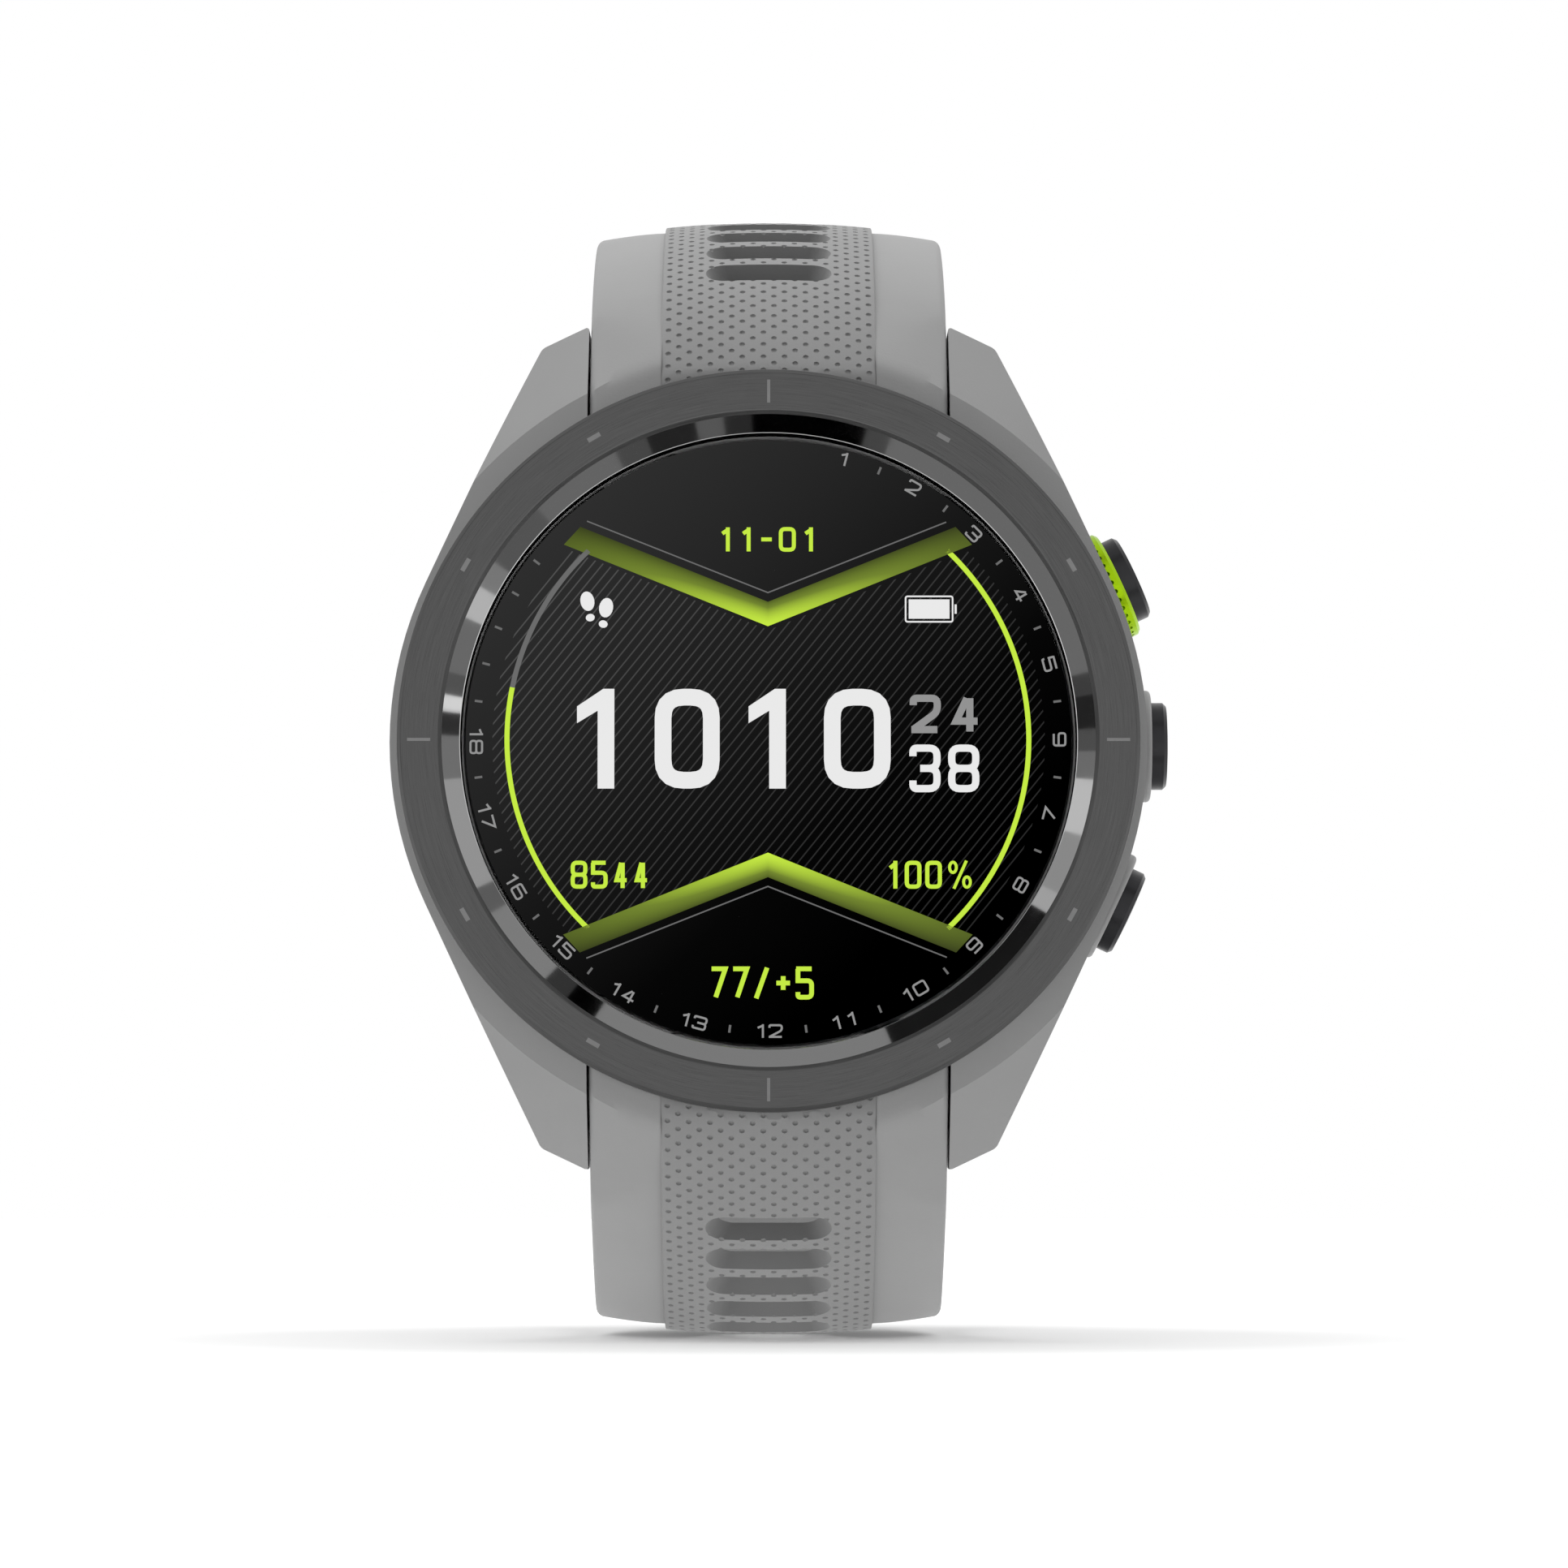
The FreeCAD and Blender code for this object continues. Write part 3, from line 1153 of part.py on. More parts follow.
def free_keeper():
    """Loose loop that slides round the upper back curve."""
    inner, outer = keeper_layers()
    cy, cz = upper_centre()
    half_angle = math.degrees(KEEPER_WIDTH / 2 / tail_radius())
    g, w = KEEPER_GAP, KEEPER_WALL
    half = STRAP_END_WIDTH / 2 + g

    def piece(r0, r1, spread, x0, x1):
        points = []
        for r, angles in ((r0, (-spread, 0, spread)), (r1, (spread, 0, -spread))):
            for a in angles:
                t = math.radians(FREE_KEEPER_ANGLE + a)
                points.append(V(0, cy + r * math.cos(t), cz + r * math.sin(t)))
        edges = [Part.Arc(*points[:3]).toShape(), Part.makeLine(points[2], points[3]),
                 Part.Arc(*points[3:]).toShape(), Part.makeLine(points[5], points[0])]
        return flat_solid(edges, x0, x1)

    shell = piece(inner - g - w, outer + g + w, half_angle, -half - w, half + w)
    return shell.cut(piece(inner - g, outer + g, half_angle * 1.5, -half, half))


def main():
    save("case_body", case_body())
    save("pressure_vent_filter", vent_filter())
    save("bezel", bezel())
    save("bezel_marks", bezel_marks())
    save("bezel_adhesive", bezel_adhesive())
    save("cover_glass", glass())
    save("glass_gasket", glass_gasket())
    save("display_panel", display_panel())
    save("display_ribbon", display_ribbon())
    save("chassis", chassis())
    save("battery", battery())
    save("gnss_antenna", antenna())
    save("main_board", main_board())
    save("board_screws", board_screws())
    save("board_chips", board_chips())
    save("shield_can", shield_can())
    save("vibration_motor_can", motor_can())
    save("vibration_rotor", motor_rotor())
    save("rear_cover", rear_cover())
    save("rear_cover_screws", cover_screws())
    save("rear_cover_seal", cover_seal())
    save("charging_contacts", charging_contacts())
    save("sensor_window", sensor_window())
    save("sensor_board", sensor_board())
    save("sensor_diodes", sensor_diodes())
    save("sensor_light_wall", sensor_light_wall())
    for name, angle in BUTTONS.items():
        save(f"button_{name}_cap", radial(button_cap(CAP_FACES[name]), angle))
        save(f"button_{name}_seals", radial(button_seals(), angle))
        save(f"button_{name}_clip", radial(button_clip(), angle))
        save(f"button_{name}_spring", radial(button_spring(CAP_FACES[name]), angle))
        save(f"switch_plunger_{name}", radial(switch_plunger(), angle))
    save("button_bushes", button_bushes())
    save("side_switches", side_switches())
    save("start_button_guard", guard_ring())
    save("lug_bar_upper", lug_bar())
    save("lug_bar_lower", below(lug_bar()))
    save("lug_screws", lug_screws())
    save("strap_upper", strap_upper())
    save("strap_lower", strap_lower())
    save("release_housing_upper", quick_release_housing())
    save("release_housing_lower", below(quick_release_housing()))
    save("release_latch_upper", latch())
    save("release_latch_lower", below(latch()))
    save("release_spring_upper", latch_spring())
    save("release_spring_lower", below(latch_spring()))
    save("buckle_bar", buckle_bar())
    save("buckle_frame", buckle_frame())
    save("buckle_tang", tang())
    save("fixed_keeper", fixed_keeper())
    save("free_keeper", free_keeper())


main()
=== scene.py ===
import json
import math
import bpy
import bmesh
from mathutils import Matrix, Vector


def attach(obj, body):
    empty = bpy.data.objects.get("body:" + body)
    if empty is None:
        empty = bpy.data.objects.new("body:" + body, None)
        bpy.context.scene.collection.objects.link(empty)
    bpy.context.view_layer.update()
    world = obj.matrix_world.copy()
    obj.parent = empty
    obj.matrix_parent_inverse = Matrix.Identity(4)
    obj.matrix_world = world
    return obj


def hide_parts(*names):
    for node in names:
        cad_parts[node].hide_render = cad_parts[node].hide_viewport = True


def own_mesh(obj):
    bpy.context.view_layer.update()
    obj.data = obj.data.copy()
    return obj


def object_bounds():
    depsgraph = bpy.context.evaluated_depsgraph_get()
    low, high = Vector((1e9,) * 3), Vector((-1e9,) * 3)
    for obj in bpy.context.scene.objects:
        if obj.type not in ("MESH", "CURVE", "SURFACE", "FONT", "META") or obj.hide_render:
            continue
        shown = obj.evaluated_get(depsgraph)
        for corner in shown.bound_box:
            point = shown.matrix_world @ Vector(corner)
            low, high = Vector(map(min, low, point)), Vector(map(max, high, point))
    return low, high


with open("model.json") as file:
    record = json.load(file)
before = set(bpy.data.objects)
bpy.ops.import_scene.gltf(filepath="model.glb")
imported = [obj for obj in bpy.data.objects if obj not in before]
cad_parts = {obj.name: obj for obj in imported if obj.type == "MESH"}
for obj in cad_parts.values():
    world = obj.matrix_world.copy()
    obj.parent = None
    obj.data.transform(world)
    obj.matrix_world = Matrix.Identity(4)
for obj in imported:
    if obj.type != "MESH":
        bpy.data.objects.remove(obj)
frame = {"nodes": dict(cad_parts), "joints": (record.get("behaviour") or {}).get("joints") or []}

cad_low, cad_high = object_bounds()


# ---- Case -------------------------------------------------------------------------------------
# The case is one moulding in light grey fibre-filled plastic, with four lugs, three button
# pockets and a stepped seat for the bezel. Its skin has a fine spark-eroded grain.
def new_material(name):
    """A node material, its nodes and links, and its main shader."""
    material = bpy.data.materials.new(name)
    material.use_nodes = True
    tree = material.node_tree
    return material, tree.nodes, tree.links, tree.nodes["Principled BSDF"]


def preset(node, **values):
    """Sets a node's inputs; an underscore stands for a space in an input's name."""
    for socket, value in values.items():
        node.inputs[socket.replace("_", " ")].default_value = value


def add(nodes, kind, operation=None, **values):
    node = nodes.new("ShaderNode" + kind)
    if operation:
        node.operation = operation
    preset(node, **values)
    return node


def wire(links, *runs):
    """Joins outputs to inputs, each run given as (node, output, node, input)."""
    for source, output, target, socket in runs:
        links.new(source.outputs[output], target.inputs[socket])


def moulded(name, colour, rough, grain=9000.0, depth=0.00001, sheen=0.0):
    """Plastic or rubber with a fine grain from the mould and a slight unevenness of tone."""
    material, nodes, links, shader = new_material(name)
    preset(shader, Sheen_Weight=sheen)
    place = add(nodes, "TexCoord")
    broad = add(nodes, "TexNoise", Scale=140.0, Detail=3.0)
    tone = add(nodes, "MapRange", To_Min=0.94, To_Max=1.06)
    tint = add(nodes, "VectorMath", "SCALE")
    tint.inputs[0].default_value = colour
    fine = add(nodes, "TexNoise", Scale=grain, Detail=2.0)
    gloss = add(nodes, "MapRange", To_Min=rough - 0.06, To_Max=rough + 0.06)
    bump = add(nodes, "Bump", Strength=0.6, Distance=depth)
    wire(links, (place, "Object", broad, "Vector"), (place, "Object", fine, "Vector"),
         (broad, "Fac", tone, "Value"), (tone, "Result", tint, "Scale"), (tint, "Vector", shader, "Base Color"),
         (fine, "Fac", gloss, "Value"), (gloss, "Result", shader, "Roughness"),
         (fine, "Fac", bump, "Height"), (bump, "Normal", shader, "Normal"))
    return material


def paint(material, *names):
    """Gives carried-over CAD nodes their real finish."""
    for name in names:
        slots = frame["nodes"][name].data.materials
        slots.clear()
        slots.append(material)


case_plastic = moulded("case_plastic", (0.32, 0.32, 0.32), 0.5)
paint(case_plastic, "case_body")
paint(moulded("vent_membrane", (0.7, 0.7, 0.7), 0.8), "pressure_vent_filter")


# ---- Main board, chassis, battery and what is fixed to them -----------------------------------------
# The inner frame is black glass-filled nylon. It carries the pouch cell and the aerial on its
# front, and on its posts the green board with its chips and its tinned screening can.
def metal(name, colour, rough, streak=(1.0, 1.0, 1.0), metallic=1.0):
    """Metal whose fine scratches are drawn out along the axes with a small streak value."""
    material, nodes, links, shader = new_material(name)
    preset(shader, Metallic=metallic, Base_Color=(*colour, 1.0))
    place = add(nodes, "TexCoord")
    stretch = add(nodes, "Mapping", Scale=streak)
    scratch = add(nodes, "TexNoise", Scale=5000.0, Detail=4.0)
    gloss = add(nodes, "MapRange", To_Min=rough * 0.75, To_Max=rough * 1.25)
    bump = add(nodes, "Bump", Strength=0.5, Distance=0.0000015)
    wire(links, (place, "Object", stretch, "Vector"), (stretch, "Vector", scratch, "Vector"),
         (scratch, "Fac", gloss, "Value"), (gloss, "Result", shader, "Roughness"),
         (scratch, "Fac", bump, "Height"), (bump, "Normal", shader, "Normal"))
    return material


black_nylon = moulded("black_nylon", (0.02, 0.02, 0.02), 0.55)
steel = metal("stainless_steel", (0.55, 0.55, 0.55), 0.3)
gold = metal("gold_plate", (0.85, 0.6, 0.25), 0.25)
paint(black_nylon, "chassis")
paint(metal("pouch_foil", (0.7, 0.7, 0.7), 0.4), "battery")
paint(gold, "gnss_antenna", "charging_contacts")
paint(moulded("board_laminate", (0.01, 0.08, 0.03), 0.4), "main_board", "sensor_board")
paint(moulded("chip_epoxy", (0.015, 0.015, 0.016), 0.5), "board_chips", "sensor_diodes", "sensor_light_wall")
paint(metal("tin_plate", (0.65, 0.65, 0.63), 0.35), "shield_can")
paint(steel, "board_screws", "vibration_motor_can")
paint(metal("sintered_tungsten", (0.25, 0.25, 0.26), 0.55), "vibration_rotor")
paint(moulded("flexible_circuit", (0.45, 0.22, 0.03), 0.35), "display_ribbon")


# ---- Display panel -------------------------------------------------------------------------------
# The panel is bonded to the back of the glass. It glows softly: nearly black, with a painted sheen that makes
# it a little lighter towards ten o'clock, the side the light comes from, and with fine slanting lines inside
# the ring of hole numbers.
MM = 0.001
FRONT = -12.9                # Y of the bezel's top face; depths in the head are counted from it
DISPLAY_Y = FRONT + 2.0      # front face of the panel
LINE_SLANT = math.radians(51.0)
LINE_PITCH = 0.445
LINE_WIDTH = 0.075
LINE_FIELD = 15.55           # radius of the lined area


def bare_glow(name):
    """A black surface that only gives light."""
    material, nodes, links, shader = new_material(name)
    preset(shader, Base_Color=(0.0, 0.0, 0.0, 1.0), Roughness=0.5, Specular_IOR_Level=0.0,
           Emission_Strength=1.0)
    return material, nodes, links, shader


def glowing(name, colour):
    material, nodes, links, shader = bare_glow(name)
    preset(shader, Emission_Color=(*colour, 1.0))
    return material


def maths_for(nodes, links):
    """A function that adds one maths node and returns its output."""
    def maths(operation, *values):
        node = add(nodes, "Math", operation)
        for socket, value in zip(node.inputs, values):
            if isinstance(value, (int, float)):
                socket.default_value = value
            else:
                links.new(value, socket)
        return node.outputs[0]
    return maths


def display_glow():
    material, nodes, links, shader = bare_glow("display_glow")
    maths = maths_for(nodes, links)
    place = add(nodes, "TexCoord")
    split = add(nodes, "SeparateXYZ")
    wire(links, (place, "Object", split, "Vector"))
    x, z = split.outputs["X"], split.outputs["Z"]
    # painted sheen: the tone falls from ten o'clock, where the light comes from, to four o'clock
    slope = maths("ADD", maths("MULTIPLY", x, -0.67 / MM), maths("MULTIPLY", z, 0.74 / MM))
    ramp = add(nodes, "ValToRGB")
    for place_on, tone in ((0.12, 0.0), (0.33, 0.0018), (0.55, 0.0085), (0.75, 0.0175)):
        stop = ramp.color_ramp.elements.new(place_on)
        stop.color = (tone, tone, tone, 1)
    ramp.color_ramp.elements[0].color = (0, 0, 0, 1)
    ramp.color_ramp.elements[-1].color = (0.028, 0.028, 0.028, 1)
    links.new(maths("ADD", maths("MULTIPLY", slope, 1 / 34.0), 0.5), ramp.inputs["Fac"])
    # slanting lines
    across = maths("ADD", maths("MULTIPLY", x, -math.sin(LINE_SLANT) / MM / LINE_PITCH),
                   maths("MULTIPLY", z, math.cos(LINE_SLANT) / MM / LINE_PITCH))
    phase = maths("ABSOLUTE", maths("SUBTRACT", maths("FRACT", across), 0.5))
    line = maths("LESS_THAN", phase, LINE_WIDTH / LINE_PITCH / 2)
    radius = maths("SQRT", maths("ADD", maths("MULTIPLY", x, x), maths("MULTIPLY", z, z)))
    inside = maths("LESS_THAN", radius, LINE_FIELD * MM)
    # the lines stop at the two chevrons
    limit = maths("ADD", maths("MULTIPLY", maths("ABSOLUTE", x), 0.402), 6.3 * MM)
    chevron = maths("LESS_THAN", maths("ABSOLUTE", z), limit)
    shown = maths("MULTIPLY", maths("MULTIPLY", line, inside), chevron)
    level = ramp.outputs["Color"]
    glow = maths("ADD", level, maths("MULTIPLY", shown, maths("ADD", maths("MULTIPLY", level, 1.3), 0.022)))
    tone = add(nodes, "CombineColor")
    for channel in ("Red", "Green", "Blue"):
        links.new(glow, tone.inputs[channel])
    wire(links, (tone, "Color", shader, "Emission Color"))
    return material


paint(display_glow(), "display_panel")


# ---- Screen image --------------------------------------------------------------------------------
# What the panel shows: time, seconds, battery and step counts, two green chevrons, two side arcs
# and a ring of hole numbers. The figures are plain strokes with rounded corners.
IMAGE_Y = DISPLAY_Y - 0.02
IMAGE_SCALE = 1.01
IMAGE_SHIFT = (-0.04, 0.13)      # on X and Z


def flat_piece(name, build, material):
    """A thin piece of the image, built in millimetres on X and Z just in front of the panel."""
    bm = bmesh.new()
    build(bm)
    bmesh.ops.recalc_face_normals(bm, faces=bm.faces)
    bm.normal_update()
    if sum(f.normal.y * f.calc_area() for f in bm.faces) > 0:
        bmesh.ops.reverse_faces(bm, faces=bm.faces)
    bmesh.ops.scale(bm, verts=bm.verts, vec=(IMAGE_SCALE, 1, IMAGE_SCALE))
    bmesh.ops.translate(bm, verts=bm.verts, vec=(IMAGE_SHIFT[0], IMAGE_Y, IMAGE_SHIFT[1]))
    bmesh.ops.scale(bm, verts=bm.verts, vec=(MM, MM, MM))
    return finished(bm, name, material, "watch")


def linked(bm, name, material):
    """Makes an object of a bmesh."""
    mesh = bpy.data.meshes.new(name)
    bm.to_mesh(mesh)
    bm.free()
    mesh.materials.append(material)
    made = bpy.data.objects.new(name, mesh)
    bpy.context.scene.collection.objects.link(made)
    return made


def finished(bm, name, material, body, smooth=None):
    piece = linked(bm, name, material)
    if smooth is not None:
        for face in piece.data.polygons:
            face.use_smooth = True
        piece.data.set_sharp_from_angle(angle=math.radians(smooth))
    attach(piece, body)
    return piece


def polygon(bm, points):
    return bm.faces.new([bm.verts.new((x, 0, z)) for x, z in points])


def rounded(points, radius, steps=5, closed=False):
    """A run of straight lines with its corners rounded off."""
    if radius <= 0:
        return list(points)
    out = []
    count = len(points)
    for k, point in enumerate(points):
        p = Vector(point)
        if not closed and k in (0, count - 1):
            out.append(tuple(p))
            continue
        before, after = Vector(points[k - 1]) - p, Vector(points[(k + 1) % count]) - p
        cut = min(radius, before.length / 2, after.length / 2)
        a, b = p + before.normalized() * cut, p + after.normalized() * cut
        for step in range(steps + 1):
            t = step / steps
            q = a * (1 - t) ** 2 + p * 2 * t * (1 - t) + b * t ** 2
            out.append(tuple(q))
    return out


def stroke(bm, points, width, closed=False):
    """A flat line of even width with square ends and mitred turns."""
    points = [Vector(p) for p in points]
    count = len(points)
    left, right = [], []
    for k, p in enumerate(points):
        before = points[k - 1] if closed or k else None
        after = points[(k + 1) % count] if closed or k < count - 1 else None
        runs = [(b - a).normalized() for a, b in ((before, p), (p, after)) if a is not None and b is not None]
        normals = [Vector((-r.y, r.x)) for r in runs]
        normal = sum(normals, Vector((0, 0))).normalized()
        reach = width / 2 / max(0.35, normal.dot(normals[0]))
        left.append(bm.verts.new((p.x + normal.x * reach, 0, p.y + normal.y * reach)))
        right.append(bm.verts.new((p.x - normal.x * reach, 0, p.y - normal.y * reach)))
    for k in range(count if closed else count - 1):
        n = (k + 1) % count
        bm.faces.new((left[k], left[n], right[n], right[k]))


def figure_runs(figure, w):
    """The strokes of a figure in a box one high and w wide, each as (points, closed)."""
    runs = {
        "0": [([(0, 0), (w, 0), (w, 1), (0, 1)], True)],
        "1": [([(w * 0.3, 0.78), (w * 0.72, 0.96)], False), ([(w * 0.72, 1.08), (w * 0.72, -0.08)], False)],
        "2": [([(0, 0.78), (0, 1), (w, 1), (w, 0.56), (0, 0)], False), ([(-0.06, 0), (w, 0)], False)],
        "3": [([(0, 0.8), (0, 1), (w, 1), (w, 0.5), (w * 0.3, 0.5)], False),
              ([(w * 0.3, 0.5), (w, 0.5), (w, 0), (0, 0), (0, 0.2)], False)],
        "4": [([(w * 0.62, 1), (0.13, 0.27), (w * 1.06, 0.27)], False),
              ([(w * 0.74, 1), (w * 0.74, -0.06)], False)],
        "5": [([(w, 1), (-0.06, 1)], False), ([(0, 1), (0, 0.5)], False),
              ([(-0.06, 0.58), (w, 0.58), (w, 0), (0, 0), (0, 0.18)], False)],
        "6": [([(w * 0.95, 1), (0, 1), (0, 0), (w, 0), (w, 0.58), (0, 0.58)], False)],
        "7": [([(0, 1), (w, 1), (w * 0.3, 0)], False)],
        "8": [([(0, 0.5), (0, 1), (w, 1), (w, 0.5)], True), ([(0, 0), (w, 0), (w, 0.5), (0, 0.5)], True)],
        "9": [([(w * 0.05, 0), (w, 0), (w, 1), (0, 1), (0, 0.42), (w, 0.42)], False)],
        "-": [([(w * 0.1, 0.5), (w * 0.9, 0.5)], False)],
        "+": [([(0, 0.5), (w, 0.5)], False), ([(w / 2, 0.5 + w / 2), (w / 2, 0.5 - w / 2)], False)],
        "/": [([(w * 0.1, -0.04), (w * 0.9, 1.04)], False)],
    }
    return runs[figure]


def figures(bm, text, centre, height, pitch, width, weight, corner, turn=0.0):
    """Writes a number, with its middle at centre, turned clockwise by turn degrees."""
    inner_h, inner_w = height - weight, width - weight
    start = -(len(text) - 1) * pitch / 2
    a = math.radians(turn)
    for k, figure in enumerate(text):
        for points, closed in figure_runs(figure, inner_w / inner_h):
            sharp = figure in "147-+/"
            placed = []
            for x, z in points:
                u = start + k * pitch + (x - inner_w / inner_h / 2) * inner_h
                v = (z - 0.5) * inner_h
                placed.append((centre[0] + u * math.cos(a) + v * math.sin(a),
                               centre[1] - u * math.sin(a) + v * math.cos(a)))
            path = rounded(placed, 0 if sharp else corner, closed=closed)
            stroke(bm, path, weight, closed)


white_glow = glowing("screen_white", (0.82, 0.82, 0.82))
grey_glow = glowing("screen_grey", (0.29, 0.29, 0.29))
dim_glow = glowing("screen_dim", (0.15, 0.15, 0.15))
green_glow = glowing("screen_green", (0.56, 0.83, 0.06))


TIME_WEIGHT = 0.93           # stroke of the large figures


def tall_one(bm, right, low, high):
    """The large figure one: an upright bar with a slanted flag."""
    x = right - TIME_WEIGHT
    polygon(bm, [(x, low), (right, low), (right, high), (right - 0.62, high), (right - 2.08, high - 0.98),
                 (right - 2.08, high - 1.92), (x, high - 1.22)])


def time_figures(bm):
    for right in (-8.56, 1.0):
        tall_one(bm, right, -2.75, 2.82)
    for x, width in ((-4.5, 3.62), (4.98, 3.72)):
        figures(bm, "0", (x, 0.035), 5.57, 0, width, TIME_WEIGHT, 1.15)


flat_piece("screen_time", time_figures, white_glow)


def number(name, text, material, *sizes):
    """sizes are the middle, height, pitch, width, stroke and corner of the figures."""
    flat_piece(name, lambda bm: figures(bm, text, *sizes), material)


number("screen_seconds", "38", white_glow, (9.83, -1.62), 2.66, 2.16, 1.74, 0.4, 0.45)
number("screen_half_day", "24", grey_glow, (9.85, 1.42), 2.15, 2.16, 1.74, 0.4, 0.33)
number("screen_steps_count", "8544", green_glow, (-8.82, -7.55), 1.56, 1.13, 0.93, 0.23, 0.24)


def charge_count(bm):
    figures(bm, "100", (8.08, -7.55), 1.56, 1.14, 0.93, 0.23, 0.24)
    stroke(bm, [(10.35, -8.33), (11.05, -6.77)], 0.17)
    turns = [math.pi * k / 8 for k in range(16)]
    for x, z in ((10.3, -7.14), (11.08, -7.96)):
        ring = [(x + 0.19 * math.cos(t), z + 0.29 * math.sin(t)) for t in turns]
        stroke(bm, ring, 0.16, True)


flat_piece("screen_charge_count", charge_count, green_glow)
number("screen_date", "11-01", green_glow, (-0.08, 11.18), 1.38, 1.16, 0.95, 0.22, 0.24)
number("screen_score", "77/+5", green_glow, (-0.35, -13.58), 1.84, 1.2, 1.02, 0.26, 0.25)

RING_RADIUS = 16.25          # of the hole numbers' middles
RING_STEP = 15.0             # degrees from one hole number to the next
TICK = (16.05, 16.48)        # where a tick starts and ends, out from the middle


def ring_numbers(bm):
    for hole in range(1, 19):
        turn = hole * RING_STEP
        a = math.radians(turn)
        centre = (RING_RADIUS * math.sin(a), RING_RADIUS * math.cos(a))
        upright = turn if hole < 6 else turn - 180.0
        figures(bm, str(hole), centre, 0.76, 0.86, 0.8, 0.115, 0.14, upright)


def ring_ticks(bm):
    for half in list(range(3, 36, 2)) + [37, 38, 39, 40, 41]:
        a = math.radians(half * RING_STEP / 2)
        out = Vector((math.sin(a), math.cos(a)))
        stroke(bm, [out * TICK[0], out * TICK[1]], 0.13)


flat_piece("screen_hole_numbers", ring_numbers, grey_glow)
flat_piece("screen_hole_ticks", ring_ticks, dim_glow)


ARC_RADIUS = 14.54
ARC_WIDTH = 0.28


def side_arc(name, start, end, material):
    """A line round the dial from start to end, in degrees clockwise from twelve."""
    steps = 48
    turns = [math.radians(start + (end - start) * k / steps) for k in range(steps + 1)]
    points = [(ARC_RADIUS * math.sin(a), ARC_RADIUS * math.cos(a)) for a in turns]
    flat_piece(name, lambda bm: stroke(bm, points, ARC_WIDTH), material)


side_arc("screen_arc_right", 43.5, 136.5, green_glow)
side_arc("screen_arc_left", 223.5, 281.5, green_glow)
side_arc("screen_arc_rest", 281.5, 316.5, dim_glow)


def chevron_glow():
    """Green that fades out along both arms and towards the middle of the dial's edge."""
    material, nodes, links, shader = bare_glow("screen_chevron")
    along = add(nodes, "Attribute")
    along.attribute_name = "fade"
    ramp = add(nodes, "ValToRGB")
    ramp.color_ramp.elements[0].color = (0.030, 0.036, 0.012, 1)
    ramp.color_ramp.elements[1].color = (0.58, 0.85, 0.06, 1)
    middle = ramp.color_ramp.elements.new(0.5)
    middle.color = (0.17, 0.24, 0.03, 1)
    wire(links, (along, "Fac", ramp, "Fac"), (ramp, "Color", shader, "Emission Color"))
    return material


def chevron(name, side):
    """One green chevron: side is 1 for the upper one, whose point hangs down, and -1 for the lower."""
    steps, layers = 24, 6

    def build(bm):
        fade = bm.verts.layers.float.new("fade")
        rows = []
        for row in range(layers + 1):
            t = row / layers                       # 0 at the edge towards the middle of the dial
            line = []
            for k in range(-steps, steps + 1):
                u = k / steps
                x = (11.39 - 0.92 * t) * u
                vert = bm.verts.new((x, 0, side * (6.32 + 1.365 * t + 0.401 * abs(x))))
                vert[fade] = max(0.0, 1 - abs(u) * 0.78) * (1 - 0.8 * t ** 1.6)
                line.append(vert)
            rows.append(line)
        for a, b in zip(rows, rows[1:]):
            for k in range(len(a) - 1):
                bm.faces.new((a[k], a[k + 1], b[k + 1], b[k]))

    flat_piece(name, build, chevron_material)


chevron_material = chevron_glow()
chevron("screen_chevron_upper", 1)
chevron("screen_chevron_lower", -1)


def hairlines(bm):
    for side in (1, -1):
        stroke(bm, [(-10.1, side * 12.2), (0, side * 8.2), (9.95, side * 12.15)], 0.075)


flat_piece("screen_hairlines", hairlines, dim_glow)


def step_icon(bm):
    """Two footprints."""
    for x, z, tilt in ((-10.02, 7.42, -10), (-9.08, 7.06, 10)):
        for size, offset in (((0.39, 0.55), 0.3), ((0.25, 0.21), -0.63)):
            ring = []
            for k in range(20):
                a = 2 * math.pi * k / 20
                u, v = size[0] * math.cos(a), size[1] * math.sin(a) + offset
                t = math.radians(tilt)
                ring.append((x + u * math.cos(t) + v * math.sin(t), z - u * math.sin(t) + v * math.cos(t)))
            polygon(bm, ring)


def battery_icon(bm):
    left, right, low, high = 7.68, 10.3, 6.57, 7.99
    inset, corner_signs = 0.17, ((1, 1), (-1, 1), (-1, -1), (1, -1))
    corners = [(left, low), (right, low), (right, high), (left, high)]
    stroke(bm, rounded(corners, 0.12, closed=True), 0.09, True)
    polygon(bm, [(x + inset * i, z + inset * j) for (x, z), (i, j) in zip(corners, corner_signs)])
    stroke(bm, [(right + inset, low + 0.45), (right + inset, high - 0.45)], 0.12)


flat_piece("screen_step_icon", step_icon, white_glow)
flat_piece("screen_battery_icon", battery_icon, white_glow)


# ---- Glass ---------------------------------------------------------------------------------------
# The cover is a flat disc of hardened glass, ground flat and polished, with a small bevel round its
# front edge. It is bonded into the bezel's rebate.
def turned_piece(name, profile, material, smooth):
    """Turns a closed (radius, depth) outline about the Y axis, in millimetres."""
    bm = bmesh.new()
    points = [bm.verts.new((r, FRONT + d, 0)) for r, d in profile]
    edges = [bm.edges.new(pair) for pair in zip(points, points[1:])]
    edges.append(bm.edges.new((points[-1], points[0])))
    bmesh.ops.spin(bm, geom=points + edges, cent=(0, 0, 0), axis=(0, 1, 0), dvec=(0, 0, 0),
                   angle=2 * math.pi, steps=256, use_merge=True, use_normal_flip=False)
    bmesh.ops.remove_doubles(bm, verts=bm.verts, dist=1e-5)
    bmesh.ops.recalc_face_normals(bm, faces=bm.faces)
    bmesh.ops.scale(bm, verts=bm.verts, vec=(MM, MM, MM))
    return finished(bm, name, material, "watch", smooth)


